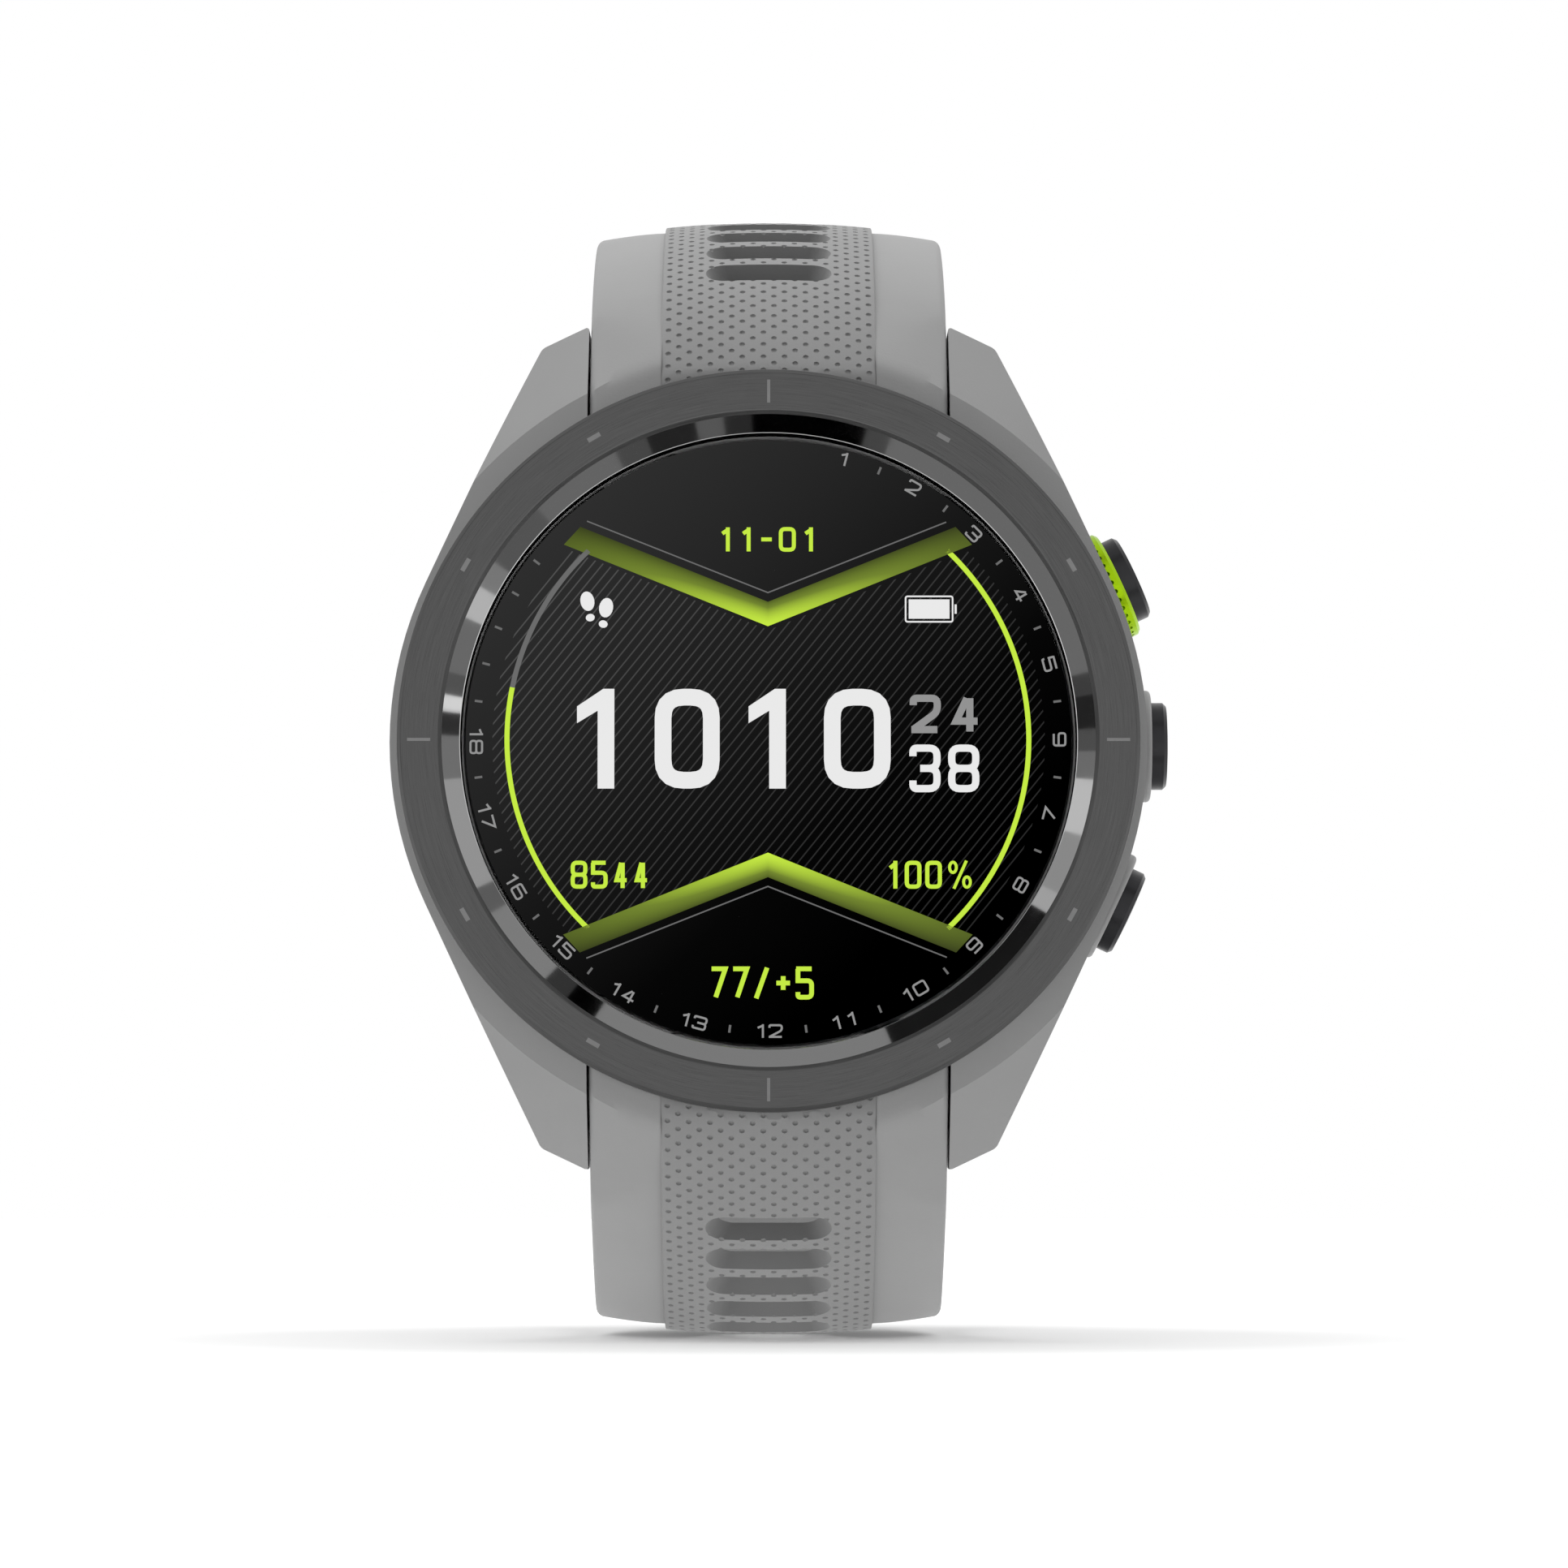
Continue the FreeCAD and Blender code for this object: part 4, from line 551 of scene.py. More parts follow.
def clear_glass(name, colour):
    """Glass that is coated against reflections."""
    material, nodes, links, shader = new_material(name)
    preset(shader, Base_Color=colour, Roughness=0.0, IOR=1.001, Transmission_Weight=1.0)
    return material


glass = turned_piece("front_glass", [(0.0, 0.82), (18.08, 0.82), (18.2, 0.94), (18.2, 1.93), (0.0, 1.93)],
                     clear_glass("hardened_glass", (1, 1, 1, 1)), 20)
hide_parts("cover_glass")
bonding_film = moulded("black_bonding_film", (0.004, 0.004, 0.004), 0.6)
preset(bonding_film.node_tree.nodes["Principled BSDF"], Specular_IOR_Level=0.0)
paint(bonding_film, "bezel_adhesive", "glass_gasket")


# ---- Bezel ---------------------------------------------------------------------------------------
# The bezel is turned from hard dark grey stock. Its flat top is brushed round the ring, and the
# slope down to the glass is polished. Fine light lines mark the hours.
def ring_brushed(name, colour, rough):
    """Metal brushed round the Y axis: scratches run with the ring."""
    material, nodes, links, shader = new_material(name)
    preset(shader, Metallic=1.0)
    maths = maths_for(nodes, links)
    place = add(nodes, "TexCoord")
    split = add(nodes, "SeparateXYZ")
    wire(links, (place, "Object", split, "Vector"))
    x, z = split.outputs["X"], split.outputs["Z"]
    radius = maths("SQRT", maths("ADD", maths("MULTIPLY", x, x), maths("MULTIPLY", z, z)))
    round_place = add(nodes, "CombineXYZ")
    links.new(maths("MULTIPLY", radius, 26000.0), round_place.inputs["X"])
    links.new(maths("MULTIPLY", maths("DIVIDE", x, radius), 7.0), round_place.inputs["Y"])
    links.new(maths("MULTIPLY", maths("DIVIDE", z, radius), 7.0), round_place.inputs["Z"])
    scratch = add(nodes, "TexNoise", Scale=1.0, Detail=5.0, Roughness=0.65)
    tone = add(nodes, "ValToRGB")
    for stop, position, share in zip(tone.color_ramp.elements, (0.25, 0.75), (0.8, 1.22)):
        stop.position = position
        stop.color = (*[c * share for c in colour], 1)
    gloss = add(nodes, "MapRange", To_Min=rough - 0.1, To_Max=rough + 0.1)
    bump = add(nodes, "Bump", Strength=0.35, Distance=0.000002)
    wire(links, (round_place, "Vector", scratch, "Vector"), (scratch, "Fac", tone, "Fac"),
         (tone, "Color", shader, "Base Color"), (scratch, "Fac", gloss, "Value"),
         (gloss, "Result", shader, "Roughness"), (scratch, "Fac", bump, "Height"),
         (bump, "Normal", shader, "Normal"))
    return material


def polished(name, colour, rough):
    material, nodes, links, shader = new_material(name)
    preset(shader, Metallic=1.0, Base_Color=(*colour, 1))
    place = add(nodes, "TexCoord")
    haze = add(nodes, "TexNoise", Scale=900.0)
    gloss = add(nodes, "MapRange", To_Min=rough, To_Max=rough + 0.05)
    wire(links, (place, "Object", haze, "Vector"), (haze, "Fac", gloss, "Value"),
         (gloss, "Result", shader, "Roughness"))
    return material


bezel_outline = [(20.86, 2.4), (20.86, 0.26), (20.84, 0.21), (20.66, 0.03), (20.61, 0.0),
                 (18.60, 0.0), (18.54, 0.015), (18.33, 0.145),
                 (17.36, 0.72), (17.32, 0.76), (17.32, 0.79), (18.3, 0.79), (18.3, 2.4)]
bezel_metal = ring_brushed("brushed_bezel", (0.084, 0.084, 0.084), 0.3)
bezel = turned_piece("bezel_ring", bezel_outline, bezel_metal, 6)
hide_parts("bezel")
bezel.data.materials.append(polished("polished_slope", (0.5, 0.5, 0.5), 0.02))
SLOPE_TOP = 18.34            # radius where the polish starts
SLOPE_FOOT = 0.8             # depth where it ends
for face in bezel.data.polygons:
    middle = face.center / MM
    if math.hypot(middle.x, middle.z) < SLOPE_TOP and middle.y < FRONT + SLOPE_FOOT:
        face.material_index = 1
paint(metal("etched_line", (0.19, 0.19, 0.19), 0.45), "bezel_marks")


# ---- Buttons ---------------------------------------------------------------------------------------
# Each button is a satin black steel cap on a stem that runs through a bush in the case wall. The
# upper one, which starts a round, has a lime green guard ring with two rows of dimples round it.
black_steel = metal("black_coated_steel", (0.035, 0.035, 0.037), 0.35)
paint(black_steel, "button_upper_cap", "button_middle_cap", "button_lower_cap")
paint(moulded("black_elastomer", (0.015, 0.015, 0.015), 0.6), "button_upper_seals", "button_middle_seals",
      "button_lower_seals", "rear_cover_seal")
paint(steel, "button_upper_clip", "button_middle_clip", "button_lower_clip", "lug_screws", "lug_bar_upper",
      "lug_bar_lower", "rear_cover_screws", "release_spring_upper", "release_spring_lower")
paint(gold, "button_bushes")
paint(black_nylon, "side_switches", "switch_plunger_upper", "switch_plunger_middle", "switch_plunger_lower")
paint(metal("lime_anodising", (0.325, 0.545, 0.003), 0.32, metallic=0.9), "start_button_guard")


def return_spring(button):
    """The coil under a cap, copied from the spring node with a mesh of its own and fixed to the watch."""
    mesh = frame["nodes"][button + "_spring"].data.copy()
    mesh.name = button + "_coil"
    mesh.materials.clear()
    mesh.materials.append(steel)
    coil = bpy.data.objects.new(button + "_coil", mesh)
    bpy.context.scene.collection.objects.link(coil)
    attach(coil, "watch")
    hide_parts(button + "_spring")
    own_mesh(coil)


for button in ("button_upper", "button_middle", "button_lower"):
    return_spring(button)


# ---- Back cover ------------------------------------------------------------------------------------
# The back is black plastic, held by four screws, with a raised ring round the dark sensor window
# and a slot with four gold contacts for the charging plug.
paint(moulded("cover_plastic", (0.022, 0.022, 0.023), 0.38), "rear_cover")
paint(clear_glass("smoked_glass", (0.08, 0.07, 0.08, 1)), "sensor_window")


# ---- Quick release -----------------------------------------------------------------------------------
# A hard grey insert in each strap end hooks over the lug bar, and a small sprung latch with a
# thumb bar closes it from behind.
insert_plastic = moulded("insert_plastic", (0.25, 0.25, 0.25), 0.45)
paint(insert_plastic, "release_housing_upper", "release_housing_lower",
      "release_latch_upper", "release_latch_lower")


# ---- Buckle ------------------------------------------------------------------------------------------
# The frame and tang are brushed grey steel on a spring bar at the end of the short strap.
buckle_steel = metal("brushed_buckle", (0.42, 0.42, 0.42), 0.3, streak=(0.04, 1.0, 1.0))
paint(buckle_steel, "buckle_frame", "buckle_tang")
paint(steel, "buckle_bar")


# ---- Straps -------------------------------------------------------------------------------------------
# Both straps are moulded in soft matt silicone. The raised middle band is covered with small
# dimples in staggered columns and cut by oblong vents over a shallow channel. Each is built flat,
# with its length on Y and its thickness on Z, and then laid along the closed loop.
silicone = moulded("silicone", (0.32, 0.32, 0.32), 0.62, grain=7000.0, depth=0.000012, sheen=0.15)


def darker_band(material, low, high, share):
    """Paints shade onto the band: tones the colour down between the band's two edges, standing in for the shade
    in its dimples.
    """
    tree = material.node_tree
    nodes, links, shader = tree.nodes, tree.links, tree.nodes["Principled BSDF"]
    plain = shader.inputs["Base Color"].links[0].from_socket
    place = add(nodes, "TexCoord")
    across = add(nodes, "SeparateXYZ")
    side = add(nodes, "Math", "ABSOLUTE")
    amount = add(nodes, "MapRange", From_Min=low, From_Max=high, To_Min=share, To_Max=1.0)
    scaled = add(nodes, "VectorMath", "SCALE")
    wire(links, (place, "Object", across, "Vector"), (across, "X", side, 0), (side, 0, amount, "Value"),
         (amount, "Result", scaled, "Scale"))
    links.new(plain, scaled.inputs["Vector"])
    links.new(scaled.outputs["Vector"], shader.inputs["Base Color"])


# painted shade over the dimpled band: 0.83 of the plain colour
darker_band(silicone, 0.00605, 0.0062, 0.83)
STRAP_HALF = 10.15
STRAP_END_HALF = 9.0
BAND_HALF = 6.0
BAND_TOP = 0.33
BAND_CROWN = 0.30
SHOULDER_DROP = 0.40
ROW = 0.515                  # length of a dimple cell
CELLS = 20                   # dimple cells across the band
DIMPLE = (0.175, 0.125)      # radius, depth
VENT = (7.35, 6.1, 2.3, 3.3)     # width at the face, width at the bottom, length, pitch
VENT_LAND = 1.2
CHANNEL = 8.3
HOLE = (2.7, 4.6)            # width, length of a buckle hole
HOLE_START = 52.786          # from the case to the first hole, along the strap
HOLE_PITCH = 6.6
STRAP_START = (-10.1, 20.9)  # Y and Z of the strap's first point, beside the bezel
COLLAR_TOP = 20.8            # radius where the case's collar starts
COLLAR_FOOT = 22.3           # radius where the collar meets the case's sloping front
LUG_END = 29.0               # radius where the sloping front ends


class StrapLine:
    """Outer line of a strap: arcs and straights in the Y-Z plane, from the bezel's edge onwards."""

    def __init__(self, angle, runs):
        self.runs = []
        (y, z), s = STRAP_START, 0.0
        for kind, size, to in runs:
            if kind == "arc":
                length = size * math.radians(to - angle)
                self.runs.append((s, length, y, z, angle, size))
                a, b = math.radians(angle), math.radians(to)
                y, z = y + size * (math.cos(a) - math.cos(b)), z + size * (math.sin(b) - math.sin(a))
                angle = to
            else:
                length = size
                self.runs.append((s, length, y, z, angle, 0.0))
                y, z = y + size * math.sin(math.radians(angle)), z + size * math.cos(math.radians(angle))
            s += length
        self.length = s

    def at(self, s):
        """Point and outward normal at a distance along the line."""
        for run in self.runs:
            if s <= run[0] + run[1]:
                break
        start, length, y, z, angle, radius = run
        a = math.radians(angle)
        if radius and s > 0:
            b = a + (s - start) / radius
            y, z, a = y + radius * (math.cos(a) - math.cos(b)), z + radius * (math.sin(b) - math.sin(a)), b
        else:
            y, z = y + (s - start) * math.sin(a), z + (s - start) * math.cos(a)
        return Vector((0, y, z)), Vector((0, -math.cos(a), math.sin(a)))


def strap_section(thickness):
    """Closed outline of a strap across its width, as (x, height), from the top's middle towards +X."""
    half = []
    for i in range(CELLS // 2 + 1):
        x = BAND_HALF * 2 * i / CELLS
        half.append((x, BAND_TOP - BAND_CROWN * (x / BAND_HALF) ** 2))
    edge = half[-1][1]
    half += [(BAND_HALF + 0.045, edge - 0.02), (BAND_HALF + 0.075, edge - 0.07),
             (BAND_HALF + 0.085, edge - 0.14), (BAND_HALF + 0.09, edge - 0.27),
             (BAND_HALF + 0.12, edge - 0.315), (BAND_HALF + 0.2, edge - 0.33)]
    x0, h0 = half[-1]
    for i in range(1, 9):
        t = i / 8
        half.append((x0 + (9.68 - x0) * t, h0 - SHOULDER_DROP * t ** 1.5))
    x1, h1 = half[-1]
    for i in range(1, 7):
        a = math.radians(15 * i)
        half.append((x1 + (STRAP_HALF - x1) * math.sin(a), h1 - 0.45 * (1 - math.cos(a)) - 0.06 * i / 6))
    bottom = -thickness
    half += [(STRAP_HALF, bottom + 0.35), (STRAP_HALF - 0.05, bottom + 0.15),
             (STRAP_HALF - 0.15, bottom + 0.05), (STRAP_HALF - 0.35, bottom)]
    half += [(x, bottom) for x in (9.0, 7.65, 7.55, 5.9, 4.3, 2.0)]
    return half + [(0, bottom)] + [(-x, h) for x, h in reversed(half[1:])]


def dimpled(bm):
    """Turns every other cell of the band's face into a round dimple."""
    cell = 2 * BAND_HALF / CELLS
    chosen = []
    for face in bm.faces:
        middle = face.calc_center_median()
        if face.normal.z > 0.9 and abs(middle.x) < BAND_HALF and middle.z > BAND_TOP - BAND_CROWN - 0.03:
            column, row = round(middle.x / cell - 0.5), round(middle.y / ROW - 0.5)
            if (column + row) % 2 == 0 and face.calc_area() > 0.2:
                chosen.append(face)
    bmesh.ops.inset_individual(bm, faces=chosen, thickness=0.07, depth=0.0)
    bmesh.ops.subdivide_edges(bm, edges=list({e for f in chosen for e in f.edges}), cuts=1)
    rings = [f for f in bm.faces if len(f.verts) == 8]
    for face in rings:
        centre = face.calc_center_median()
        for vert in face.verts:
            out = vert.co - centre
            vert.co = centre + out.normalized() * DIMPLE[0]
    bmesh.ops.inset_individual(bm, faces=rings, thickness=0.05, depth=-DIMPLE[1] * 0.75)
    bmesh.ops.inset_individual(bm, faces=rings, thickness=0.05, depth=-DIMPLE[1] * 0.25)


QUARTERS = ((1, 1, 0), (-1, 1, 90), (-1, -1, 180), (1, -1, 270))    # side, end, first angle


def oblong_outline(width, length, middle):
    """Corners of an oblong with rounded ends, with its middle at a distance along the strap."""
    radius, steps = length / 2 - 0.02, 10
    reach = min(radius, width / 2 - 0.02)
    points = []
    for cx, cy, first in QUARTERS:
        for k in range(steps + 1):
            a = math.radians(first + 90 * k / steps)
            points.append((cx * (width / 2 - reach) + reach * math.cos(a),
                           cy * (length / 2 - radius) + radius * math.sin(a) + middle))
    return points


def loft(bm, rings):
    """Closed solid through outlines given as (points, height)."""
    rows = [[bm.verts.new((x, y, h)) for x, y in points] for points, h in rings]
    for low, high in zip(rows, rows[1:]):
        for k in range(len(low)):
            n = (k + 1) % len(low)
            bm.faces.new((low[k], low[n], high[n], high[k]))
    bm.faces.new(list(reversed(rows[0])))
    bm.faces.new(rows[-1])


def block(bm, x0, x1, y0, y1, z0, z1):
    made = bmesh.ops.create_cube(bm, size=1.0)
    bmesh.ops.scale(bm, verts=made["verts"], vec=(x1 - x0, y1 - y0, z1 - z0))
    bmesh.ops.translate(bm, verts=made["verts"], vec=((x0 + x1) / 2, (y0 + y1) / 2, (z0 + z1) / 2))


def carved(bm, cutter, operation="DIFFERENCE"):
    """A new bmesh: bm with the cutter's solids taken away, joined or kept in common."""
    pair = []
    for source in (bm, cutter):
        bmesh.ops.recalc_face_normals(source, faces=source.faces)
        mesh = bpy.data.meshes.new("carving")
        source.to_mesh(mesh)
        source.free()
        thing = bpy.data.objects.new("carving", mesh)
        bpy.context.scene.collection.objects.link(thing)
        pair.append(thing)
    body, tool = pair
    step = body.modifiers.new("carve", "BOOLEAN")
    step.operation, step.solver, step.object = operation, "EXACT", tool
    step.use_self = False
    mesh = bpy.data.meshes.new_from_object(body.evaluated_get(bpy.context.evaluated_depsgraph_get()))
    result = bmesh.new()
    result.from_mesh(mesh)
    for thing in pair:
        bpy.data.meshes.remove(thing.data)
    bpy.data.meshes.remove(mesh)
    return result


def front_limit(x, z):
    """Y of the case's front surface carried on over the strap's shoulders."""
    r = math.hypot(x, z)
    if r < COLLAR_TOP:
        return FRONT + 2.5
    if r < COLLAR_FOOT:
        return FRONT + 2.5 + 0.5 * (r - COLLAR_TOP) / (COLLAR_FOOT - COLLAR_TOP)
    return FRONT + 3.0 + (r - COLLAR_FOOT) * 7.1 / (LUG_END - COLLAR_FOOT)


def laid(line, thickness, x, s, h):
    """Where a point of the flat strap goes on the loop."""
    side = abs(x)
    # rows on the shoulders follow the round case near it
    if side > BAND_HALF + 0.05 and s < 6.0:
        here = line.at(s)[0].z
        back_by = here - math.sqrt(max(here * here - x * x, 0.0))
        weight = 1.0 if s < 2.0 else 1.0 - (s - 2.0) / 4.0
        weight = weight * weight * (3 - 2 * weight)
        s -= back_by * weight / math.cos(math.radians(40))
    point, normal = line.at(max(s, 0.0))
    if s < 0:
        point = Vector((0, STRAP_START[0] - 0.25 * min(1.0, -s), STRAP_START[1] + s * 0.8))
    outer = point + normal * h if h > -1.0 else point - normal
    if outer.z < 21.0:
        outer.y = max(outer.y, -10.37)
    if side > BAND_HALF + 0.05 and s < 9.0:
        # the shoulders carry on the case's front near it, and then fall away below the line
        limit = front_limit(x, outer.z)
        near = min(1.0, max(0.0, (26.5 - math.hypot(x, outer.z)) / 3.5))
        near = near * near * (3 - 2 * near)
        edge_drop = max(0.0, -SHOULDER_DROP - 0.3 - max(h, -1.0)) if side > 9.6 else 0.0
        outer.y = (limit + edge_drop) * near + max(outer.y, limit) * (1 - near)
    where = outer
    if h < -1.0:
        share = (-h - 1.0) / (thickness - 1.0)
        root = line.runs[0][1]
        if s > root:
            inner = point - normal * thickness
        else:
            end, end_normal = line.at(root)
            foot = end - end_normal * thickness
            if side < 7.6:
                inner = Vector((0, -5.45, min(outer.z, 24.45))) if s < root - ROW else foot
            else:
                inner = Vector((0, -1.95, outer.z)) if outer.z < 23.3 else None
                if inner is None:
                    reach = (outer.z - 23.3) / max(end.z - end_normal.z - 23.3, 0.1)
                    inner = Vector((0, -1.95, 23.3)).lerp(foot, min(1.0, reach))
        where = outer.lerp(inner, share)
    y = where.y
    half = STRAP_HALF + (STRAP_END_HALF - STRAP_HALF) * min(1.0, max(0.0, (y - 13.0) / 25.0))
    if side > BAND_HALF:
        x = math.copysign(BAND_HALF + (side - BAND_HALF) * (half - BAND_HALF) / (STRAP_HALF - BAND_HALF), x)
    return Vector((x, where.y, where.z))


def strap(line, thickness, vents, lead, holes, below, finish=None):
    """Builds one strap flat and lays it on its line; a strap below is built above and mirrored."""
    bm = bmesh.new()
    section = strap_section(thickness)
    # one row lies exactly on the foot of the case's collar
    crease = next(s / 200 for s in range(2000) if line.at(s / 200)[0].z >= COLLAR_FOOT)
    begin = crease - 11 * ROW
    rows = int((line.length - begin) / ROW)
    points = [bm.verts.new((x, begin, h)) for x, h in section]
    edges = [bm.edges.new((a, b)) for a, b in zip(points, points[1:] + points[:1])]
    swept = bmesh.ops.spin(bm, geom=points + edges, cent=(0, 0, 0), axis=(0, 0, 1),
                           dvec=(0, ROW, 0), angle=0.0, steps=rows, use_merge=False, use_normal_flip=False)
    last = [v for v in swept["geom_last"] if isinstance(v, bmesh.types.BMVert)]
    for vert in last:
        vert.co.y = line.length
    bmesh.ops.contextual_create(bm, geom=points)
    bmesh.ops.contextual_create(bm, geom=last)
    bmesh.ops.recalc_face_normals(bm, faces=bm.faces)
    bm.normal_update()
    for vert in bm.verts:
        vert.co.y -= begin
    dimpled(bm)
    for vert in bm.verts:
        vert.co.y += begin
    # vents and the channel behind them
    first = line.runs[0][1] - lead + VENT[2] / 2
    cutter = bmesh.new()
    for k in range(vents):
        middle = first + k * VENT[3]
        wide, face, deep = (oblong_outline(w, VENT[2], middle) for w in (VENT[0] + 0.35, VENT[0], VENT[1]))
        loft(cutter, [(deep, -1.6), (deep, BAND_TOP - VENT_LAND), (face, BAND_TOP), (wide, BAND_TOP + 0.3)])
    bm = carved(bm, cutter)
    cutter = bmesh.new()
    end = VENT[2] / 2 + 0.25
    block(cutter, -CHANNEL / 2, CHANNEL / 2, first - end, first + (vents - 1) * VENT[3] + end,
          -thickness - 1, BAND_TOP - VENT_LAND)
    bm = carved(bm, cutter)
    if holes:
        cutter = bmesh.new()
        for middle in holes:
            outline = oblong_outline(*HOLE, middle)
            loft(cutter, [(outline, -thickness - 1), (outline, BAND_TOP + 0.5)])
        bm = carved(bm, cutter)
    if finish:
        bm = finish(bm, line, thickness)
    for vert in bm.verts:
        vert.co = laid(line, thickness, *vert.co)
    if below:
        bmesh.ops.scale(bm, verts=bm.verts, vec=(1, 1, -1))
        bmesh.ops.reverse_faces(bm, faces=bm.faces)
    return bm


def strap_piece(bm, name, node):
    # what the cuts left as slivers is merged, and any pinhole is closed
    bmesh.ops.remove_doubles(bm, verts=bm.verts, dist=0.0004)
    bmesh.ops.dissolve_degenerate(bm, edges=bm.edges, dist=0.0004)
    bmesh.ops.holes_fill(bm, edges=[e for e in bm.edges if e.is_boundary], sides=12)
    bmesh.ops.scale(bm, verts=bm.verts, vec=(MM, MM, MM))
    piece = finished(bm, name, silicone, "watch", smooth=20)
    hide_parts(node)
    return piece


def nose(bm, line, thickness):
    """Rounds the tail's tip."""
    radius, middle = 9.0 * STRAP_HALF / STRAP_END_HALF, line.length - 8.5
    turns = [math.pi * k / 24 for k in range(25)]
    outline = [(radius * math.cos(a), middle + 8.5 * math.sin(a)) for a in turns]
    outline = [(outline[0][0] + 3, middle)] + outline + [(outline[-1][0] - 3, middle)]
    outline += [(-STRAP_HALF - 4, line.length + 2), (STRAP_HALF + 4, line.length + 2)]
    cutter = bmesh.new()
    loft(cutter, [(outline, -thickness - 1), (outline, 1.0)])
    return carved(bm, cutter)


upper_line = StrapLine(37.0, [("arc", 23.56, 58.4), ("arc", 39.0, 74.0), ("arc", 25.5, 90.0),
                              ("flat", 0.2, 0), ("arc", 27.8, 180.0), ("flat", 7.267, 0),
                              ("arc", 27.8, 192.0)])
lower_line = StrapLine(34.0, [("arc", 21.85, 55.5), ("arc", 53.0, 69.5), ("arc", 11.3, 90.0),
                              ("flat", 2.231, 0), ("arc", 30.35, 180.0), ("flat", 7.267, 0),
                              ("arc", 30.35, 232.0)])

upper = strap(upper_line, thickness=2.4, vents=5, lead=0.1, holes=[], below=False)
# the end is rolled round the buckle's bar, with a gap for the tang
bar = next(j for j in frame["joints"] if j["name"] == "buckle_pivot")["pos_m"]
bar_y, bar_z = bar[1] / MM, bar[2] / MM


def rod(radius, half):
    """A solid rod along the buckle's bar."""
    bm = bmesh.new()
    bmesh.ops.create_cone(bm, cap_ends=True, segments=48, radius1=radius, radius2=radius, depth=2 * half)
    bmesh.ops.rotate(bm, verts=bm.verts, cent=(0, 0, 0), matrix=Matrix.Rotation(math.pi / 2, 3, "Y"))
    bmesh.ops.translate(bm, verts=bm.verts, vec=(0, bar_y, bar_z))
    return bm


upper = carved(upper, rod(1.25, STRAP_END_HALF), "UNION")
upper = carved(upper, rod(0.78, 12))
opening = bmesh.new()
block(opening, -1.3, 1.3, bar_y - 4, bar_y + 4, bar_z - 4, bar_z + 2.0)
upper = carved(upper, opening)
strap_piece(upper, "short_strap", "strap_upper")
hole_places = [HOLE_START + HOLE_PITCH * k for k in range(8)]
lower = strap(lower_line, thickness=2.1, vents=6, lead=0.28, holes=hole_places, below=True, finish=nose)
strap_piece(lower, "long_strap", "strap_lower")


# ---- Keepers -----------------------------------------------------------------------------------------
# Two silicone loops hold the long strap's end down: one glued to the short strap, the other loose.
# Both are moulded with rounded corners.
plain_silicone = moulded("plain_silicone", (0.32, 0.32, 0.32), 0.62, grain=7000.0, depth=0.000012, sheen=0.15)


KEEPER_HALF = 9.25           # half the width of its opening
KEEPER_WALL = 1.1
KEEPER_LENGTH = 5.0          # along the strap
EDGE = [(0.5, 0.25), (0.485, 0.12), (0.45, 0.03), (0.4, 0.0), (0.2, 0.0)]    # share of the length, rounding


def keeper_outline(half, inner, outer, radius):
    """A rounded oblong across the strap, as (x, distance) pairs."""
    points = []
    for cx, cy, first in QUARTERS:
        middle = outer - radius if cy > 0 else inner + radius
        for k in range(7):
            a = math.radians(first + 15 * k)
            points.append((cx * (half - radius) + radius * math.cos(a), middle + radius * math.sin(a)))
    return points


def keeper(name, node, body, place, inner, outer):
    """place turns (x, distance from the curve's centre, way along) into a point."""
    hole = keeper_outline(KEEPER_HALF, inner, outer, 0.25)
    skin = keeper_outline(KEEPER_HALF + KEEPER_WALL, inner - KEEPER_WALL, outer + KEEPER_WALL, 1.0)
    bm = bmesh.new()
    stops = [(-along, drop) for along, drop in EDGE] + [(0.0, 0.0)] + EDGE[::-1]
    rings = []
    for near, far, order in ((skin, hole, stops), (hole, skin, stops[::-1])):
        for along, drop in order:
            ring = []
            for (x, r), (far_x, far_r) in zip(near, far):
                t = drop / math.hypot(far_x - x, far_r - r)
                point = place(x + (far_x - x) * t, r + (far_r - r) * t, along * KEEPER_LENGTH)
                ring.append(bm.verts.new(point))
            rings.append(ring)
    for a, b in zip(rings, rings[1:] + rings[:1]):
        for k in range(len(a)):
            n = (k + 1) % len(a)
            bm.faces.new((a[k], a[n], b[n], b[k]))
    bmesh.ops.recalc_face_normals(bm, faces=bm.faces)
    bmesh.ops.scale(bm, verts=bm.verts, vec=(MM, MM, MM))
    piece = finished(bm, name, plain_silicone, body, smooth=40)
    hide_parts(node)


BACK_CENTRE = (13.285, 4.248)    # Y and Z of the upper strap's back curve


def round_upper(x, r, along):
    a = math.radians(16.0) + along / 30.35
    return (x, BACK_CENTRE[0] + r * math.cos(a), BACK_CENTRE[1] + r * math.sin(a))


keeper("glued_keeper", "fixed_keeper", "watch", lambda x, r, along: (x, BACK_CENTRE[0] + r, 0.614 + along),
       25.38, 30.93)
keeper("loose_keeper", "free_keeper", "free_keeper", round_upper, 25.15, 30.93)


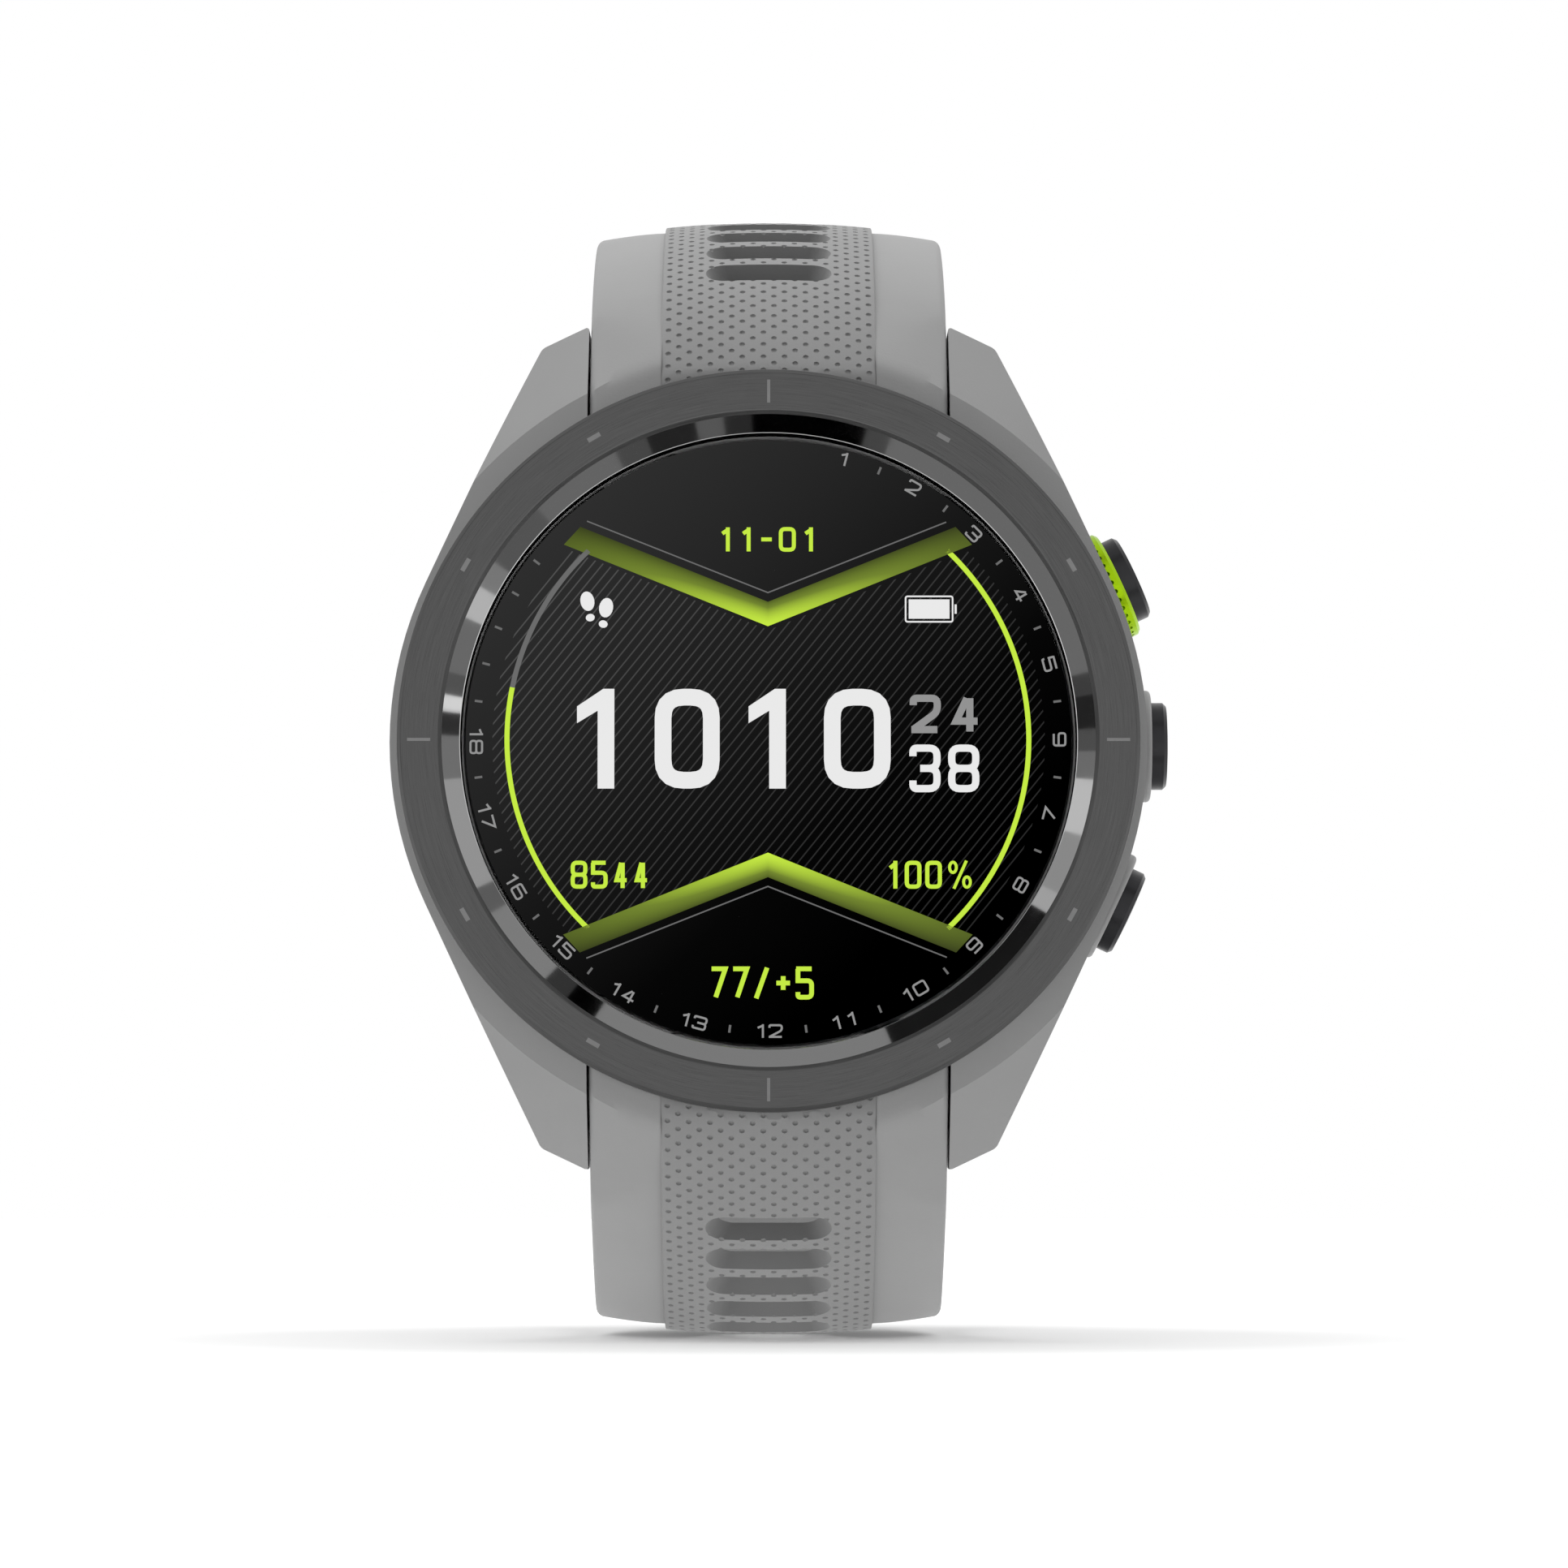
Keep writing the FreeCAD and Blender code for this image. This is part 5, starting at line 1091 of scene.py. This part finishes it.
# ---- Studio ------------------------------------------------------------------------------------------
# A pale floor under the strap loop, even light from all round with less from straight in front,
# and a long lens a little below the middle of the dial.
def studio_floor():
    bm = bmesh.new()
    bmesh.ops.create_grid(bm, x_segments=1, y_segments=1, size=1.5)
    bmesh.ops.translate(bm, verts=bm.verts, vec=(0, 0, cad_low.z - 0.00005))
    material, nodes, links, shader = new_material("studio_floor")
    preset(shader, Roughness=1.0, Specular_IOR_Level=0.0, Emission_Color=(1, 1, 1, 1))
    # white where it is looked at or mirrored, except for a painted shadow close to the watch, and lit from
    # below near the watch, as a light table is
    place = add(nodes, "TexCoord")
    far = add(nodes, "VectorMath", "LENGTH")
    table = add(nodes, "MapRange", From_Min=0.03, From_Max=0.16, To_Min=0.85, To_Max=0.0)
    # painted shadow: the lift that whitens the floor for the camera and mirrors fades to nothing near the watch
    fade = add(nodes, "MapRange", From_Min=0.046, From_Max=0.062, To_Min=0.0, To_Max=0.17)
    path = add(nodes, "LightPath")
    looked_at = add(nodes, "Math", "MAXIMUM")
    lift = add(nodes, "Mix")
    tone = add(nodes, "Mix")
    tone.data_type = "RGBA"
    preset(tone, A=(0.3, 0.3, 0.3, 1), B=(0.85, 0.85, 0.85, 1))
    wire(links, (place, "Object", far, 0), (far, "Value", table, "Value"), (far, "Value", fade, "Value"),
         (path, "Is Camera Ray", looked_at, 0), (path, "Is Glossy Ray", looked_at, 1),
         (looked_at, 0, lift, "Factor"), (table, "Result", lift, "A"), (fade, "Result", lift, "B"),
         (lift, "Result", shader, "Emission Strength"),
         (looked_at, 0, tone, "Factor"), (tone, "Result", shader, "Base Color"))
    linked(bm, "studio_floor", material)


studio_floor()

# clock angles between which the bezel's slope mirrors a card, and the card's level
CARDS = [(-90, -85, 0.05), (-82, -78, 0.16), (-78, -68, 0.27), (-68, -62, 0.86), (-62, -57, 0.36),
         (-57, -45, 0.17), (-45, -28, 0.25), (-28, -22, 0.12), (-22, -13, 0.03), (-13, -8, 0.18),
         (-8, -3, 0.04), (-3, 17.5, 0.0), (17.5, 22, 0.11), (22, 78, 0.26), (78, 82, 0.09),
         (82, 88, 0.03), (88, 92, 0.14), (92, 97, 0.28), (97, 107, 0.94), (107, 118, 0.49),
         (118, 122, 0.68), (122, 158, 0.014), (158, 212, 0.37), (212, 218, 0.0), (218, 223, 0.06),
         (223, 238, 0.39), (238, 243, 0.2), (243, 263, 0.57), (263, 272, 0.3), (272, 275, 0.04)]
STUDIO_EYE = Vector((0.0, -412.9, -25.0))    # where the camera stands, in millimetres
SLOPE_MIDDLE = (17.85, 0.43)                 # radius and depth of the bezel's slope
SLOPE_TILTS = (27.5, 34.0)                   # steepness at the two edges of a card


def card_corners(clock):
    """Two points, near and far, of the line that the slope mirrors at a clock angle."""
    a = math.radians(clock)
    radius, depth = SLOPE_MIDDLE
    start = Vector((radius * math.sin(a), FRONT + depth, radius * math.cos(a)))
    look = (start - STUDIO_EYE).normalized()
    corners = []
    for tilt in map(math.radians, SLOPE_TILTS):
        facing = Vector((-math.sin(a) * math.sin(tilt), -math.cos(tilt), -math.cos(a) * math.sin(tilt)))
        way = look - 2 * look.dot(facing) * facing
        reach = 300.0
        if way.z < 0:
            reach = min(reach, (start.z - cad_low.z / MM - 0.1) / -way.z)
        corners.append(start + way * reach)
    return corners


def reflection_cards():
    bm = bmesh.new()
    level = bm.faces.layers.float.new("level")
    for first, last, tone in CARDS:
        parts = max(1, round((last - first) / 4))
        stops = [card_corners(first + (last - first) * k / parts) for k in range(parts + 1)]
        for (a, b), (c, d) in zip(stops, stops[1:]):
            face = bm.faces.new([bm.verts.new(corner) for corner in (a, b, d, c)])
            face[level] = tone
    bmesh.ops.scale(bm, verts=bm.verts, vec=(MM, MM, MM))
    material, nodes, links, shader = new_material("reflection_card")
    preset(shader, Base_Color=(0, 0, 0, 1), Specular_IOR_Level=0.0, Emission_Color=(1, 1, 1, 1))
    tone = add(nodes, "Attribute")
    tone.attribute_name = "level"
    wire(links, (tone, "Fac", shader, "Emission Strength"))
    cards = linked(bm, "reflection_cards", material)
    cards.visible_camera = cards.visible_diffuse = cards.visible_transmission = cards.visible_shadow = False


reflection_cards()
world = bpy.data.worlds.new("studio")
bpy.context.scene.world = world
world.use_nodes = True
sky_nodes, sky_links = world.node_tree.nodes, world.node_tree.links
sky_maths = maths_for(sky_nodes, sky_links)
background = sky_nodes["Background"]
where = add(sky_nodes, "TexCoord")
facing = add(sky_nodes, "SeparateXYZ")
wire(sky_links, (where, "Generated", facing, "Vector"))


def band(value, low, high, low_level, high_level):
    """A smooth step of light between two places on an axis."""
    node = add(sky_nodes, "MapRange", From_Min=low, From_Max=high, To_Min=low_level, To_Max=high_level)
    node.interpolation_type = "SMOOTHSTEP"
    sky_links.new(value, node.inputs["Value"])
    return node.outputs["Result"]


overhead = band(facing.outputs["Z"], 0.43, 0.8, 0.0, 1.5)
from_left = band(sky_maths("MULTIPLY", facing.outputs["X"], -1.0), 0.2, 0.9, 0.0, 0.42)
behind = band(facing.outputs["Y"], -0.1, 0.8, 0.1, 0.8)
daylight = sky_maths("ADD", sky_maths("ADD", overhead, from_left), behind)
seen = add(sky_nodes, "LightPath")
direct = sky_maths("MAXIMUM", seen.outputs["Is Camera Ray"],
                   sky_maths("MAXIMUM", seen.outputs["Is Glossy Ray"], seen.outputs["Is Transmission Ray"]))
choose = add(sky_nodes, "Mix")
choose.data_type = "RGBA"
preset(choose, B=(1, 1, 1, 1))
sky_links.new(direct, choose.inputs["Factor"])
sky_links.new(daylight, choose.inputs["A"])
wire(sky_links, (choose, "Result", background, "Color"))
preset(background, Strength=1.0)

lens = bpy.data.cameras.new("studio_camera")
lens.lens = 164.3
lens.sensor_width = 36.0
lens.clip_start = 0.01
camera = bpy.data.objects.new("studio_camera", lens)
bpy.context.scene.collection.objects.link(camera)
camera.location = STUDIO_EYE * MM
aim = Vector((0.00086, FRONT * MM, -0.0025))
camera.rotation_mode = "QUATERNION"
camera.rotation_quaternion = (aim - camera.location).to_track_quat("-Z", "Y")
bpy.context.scene.camera = camera
bpy.context.scene.view_settings.view_transform = "Standard"
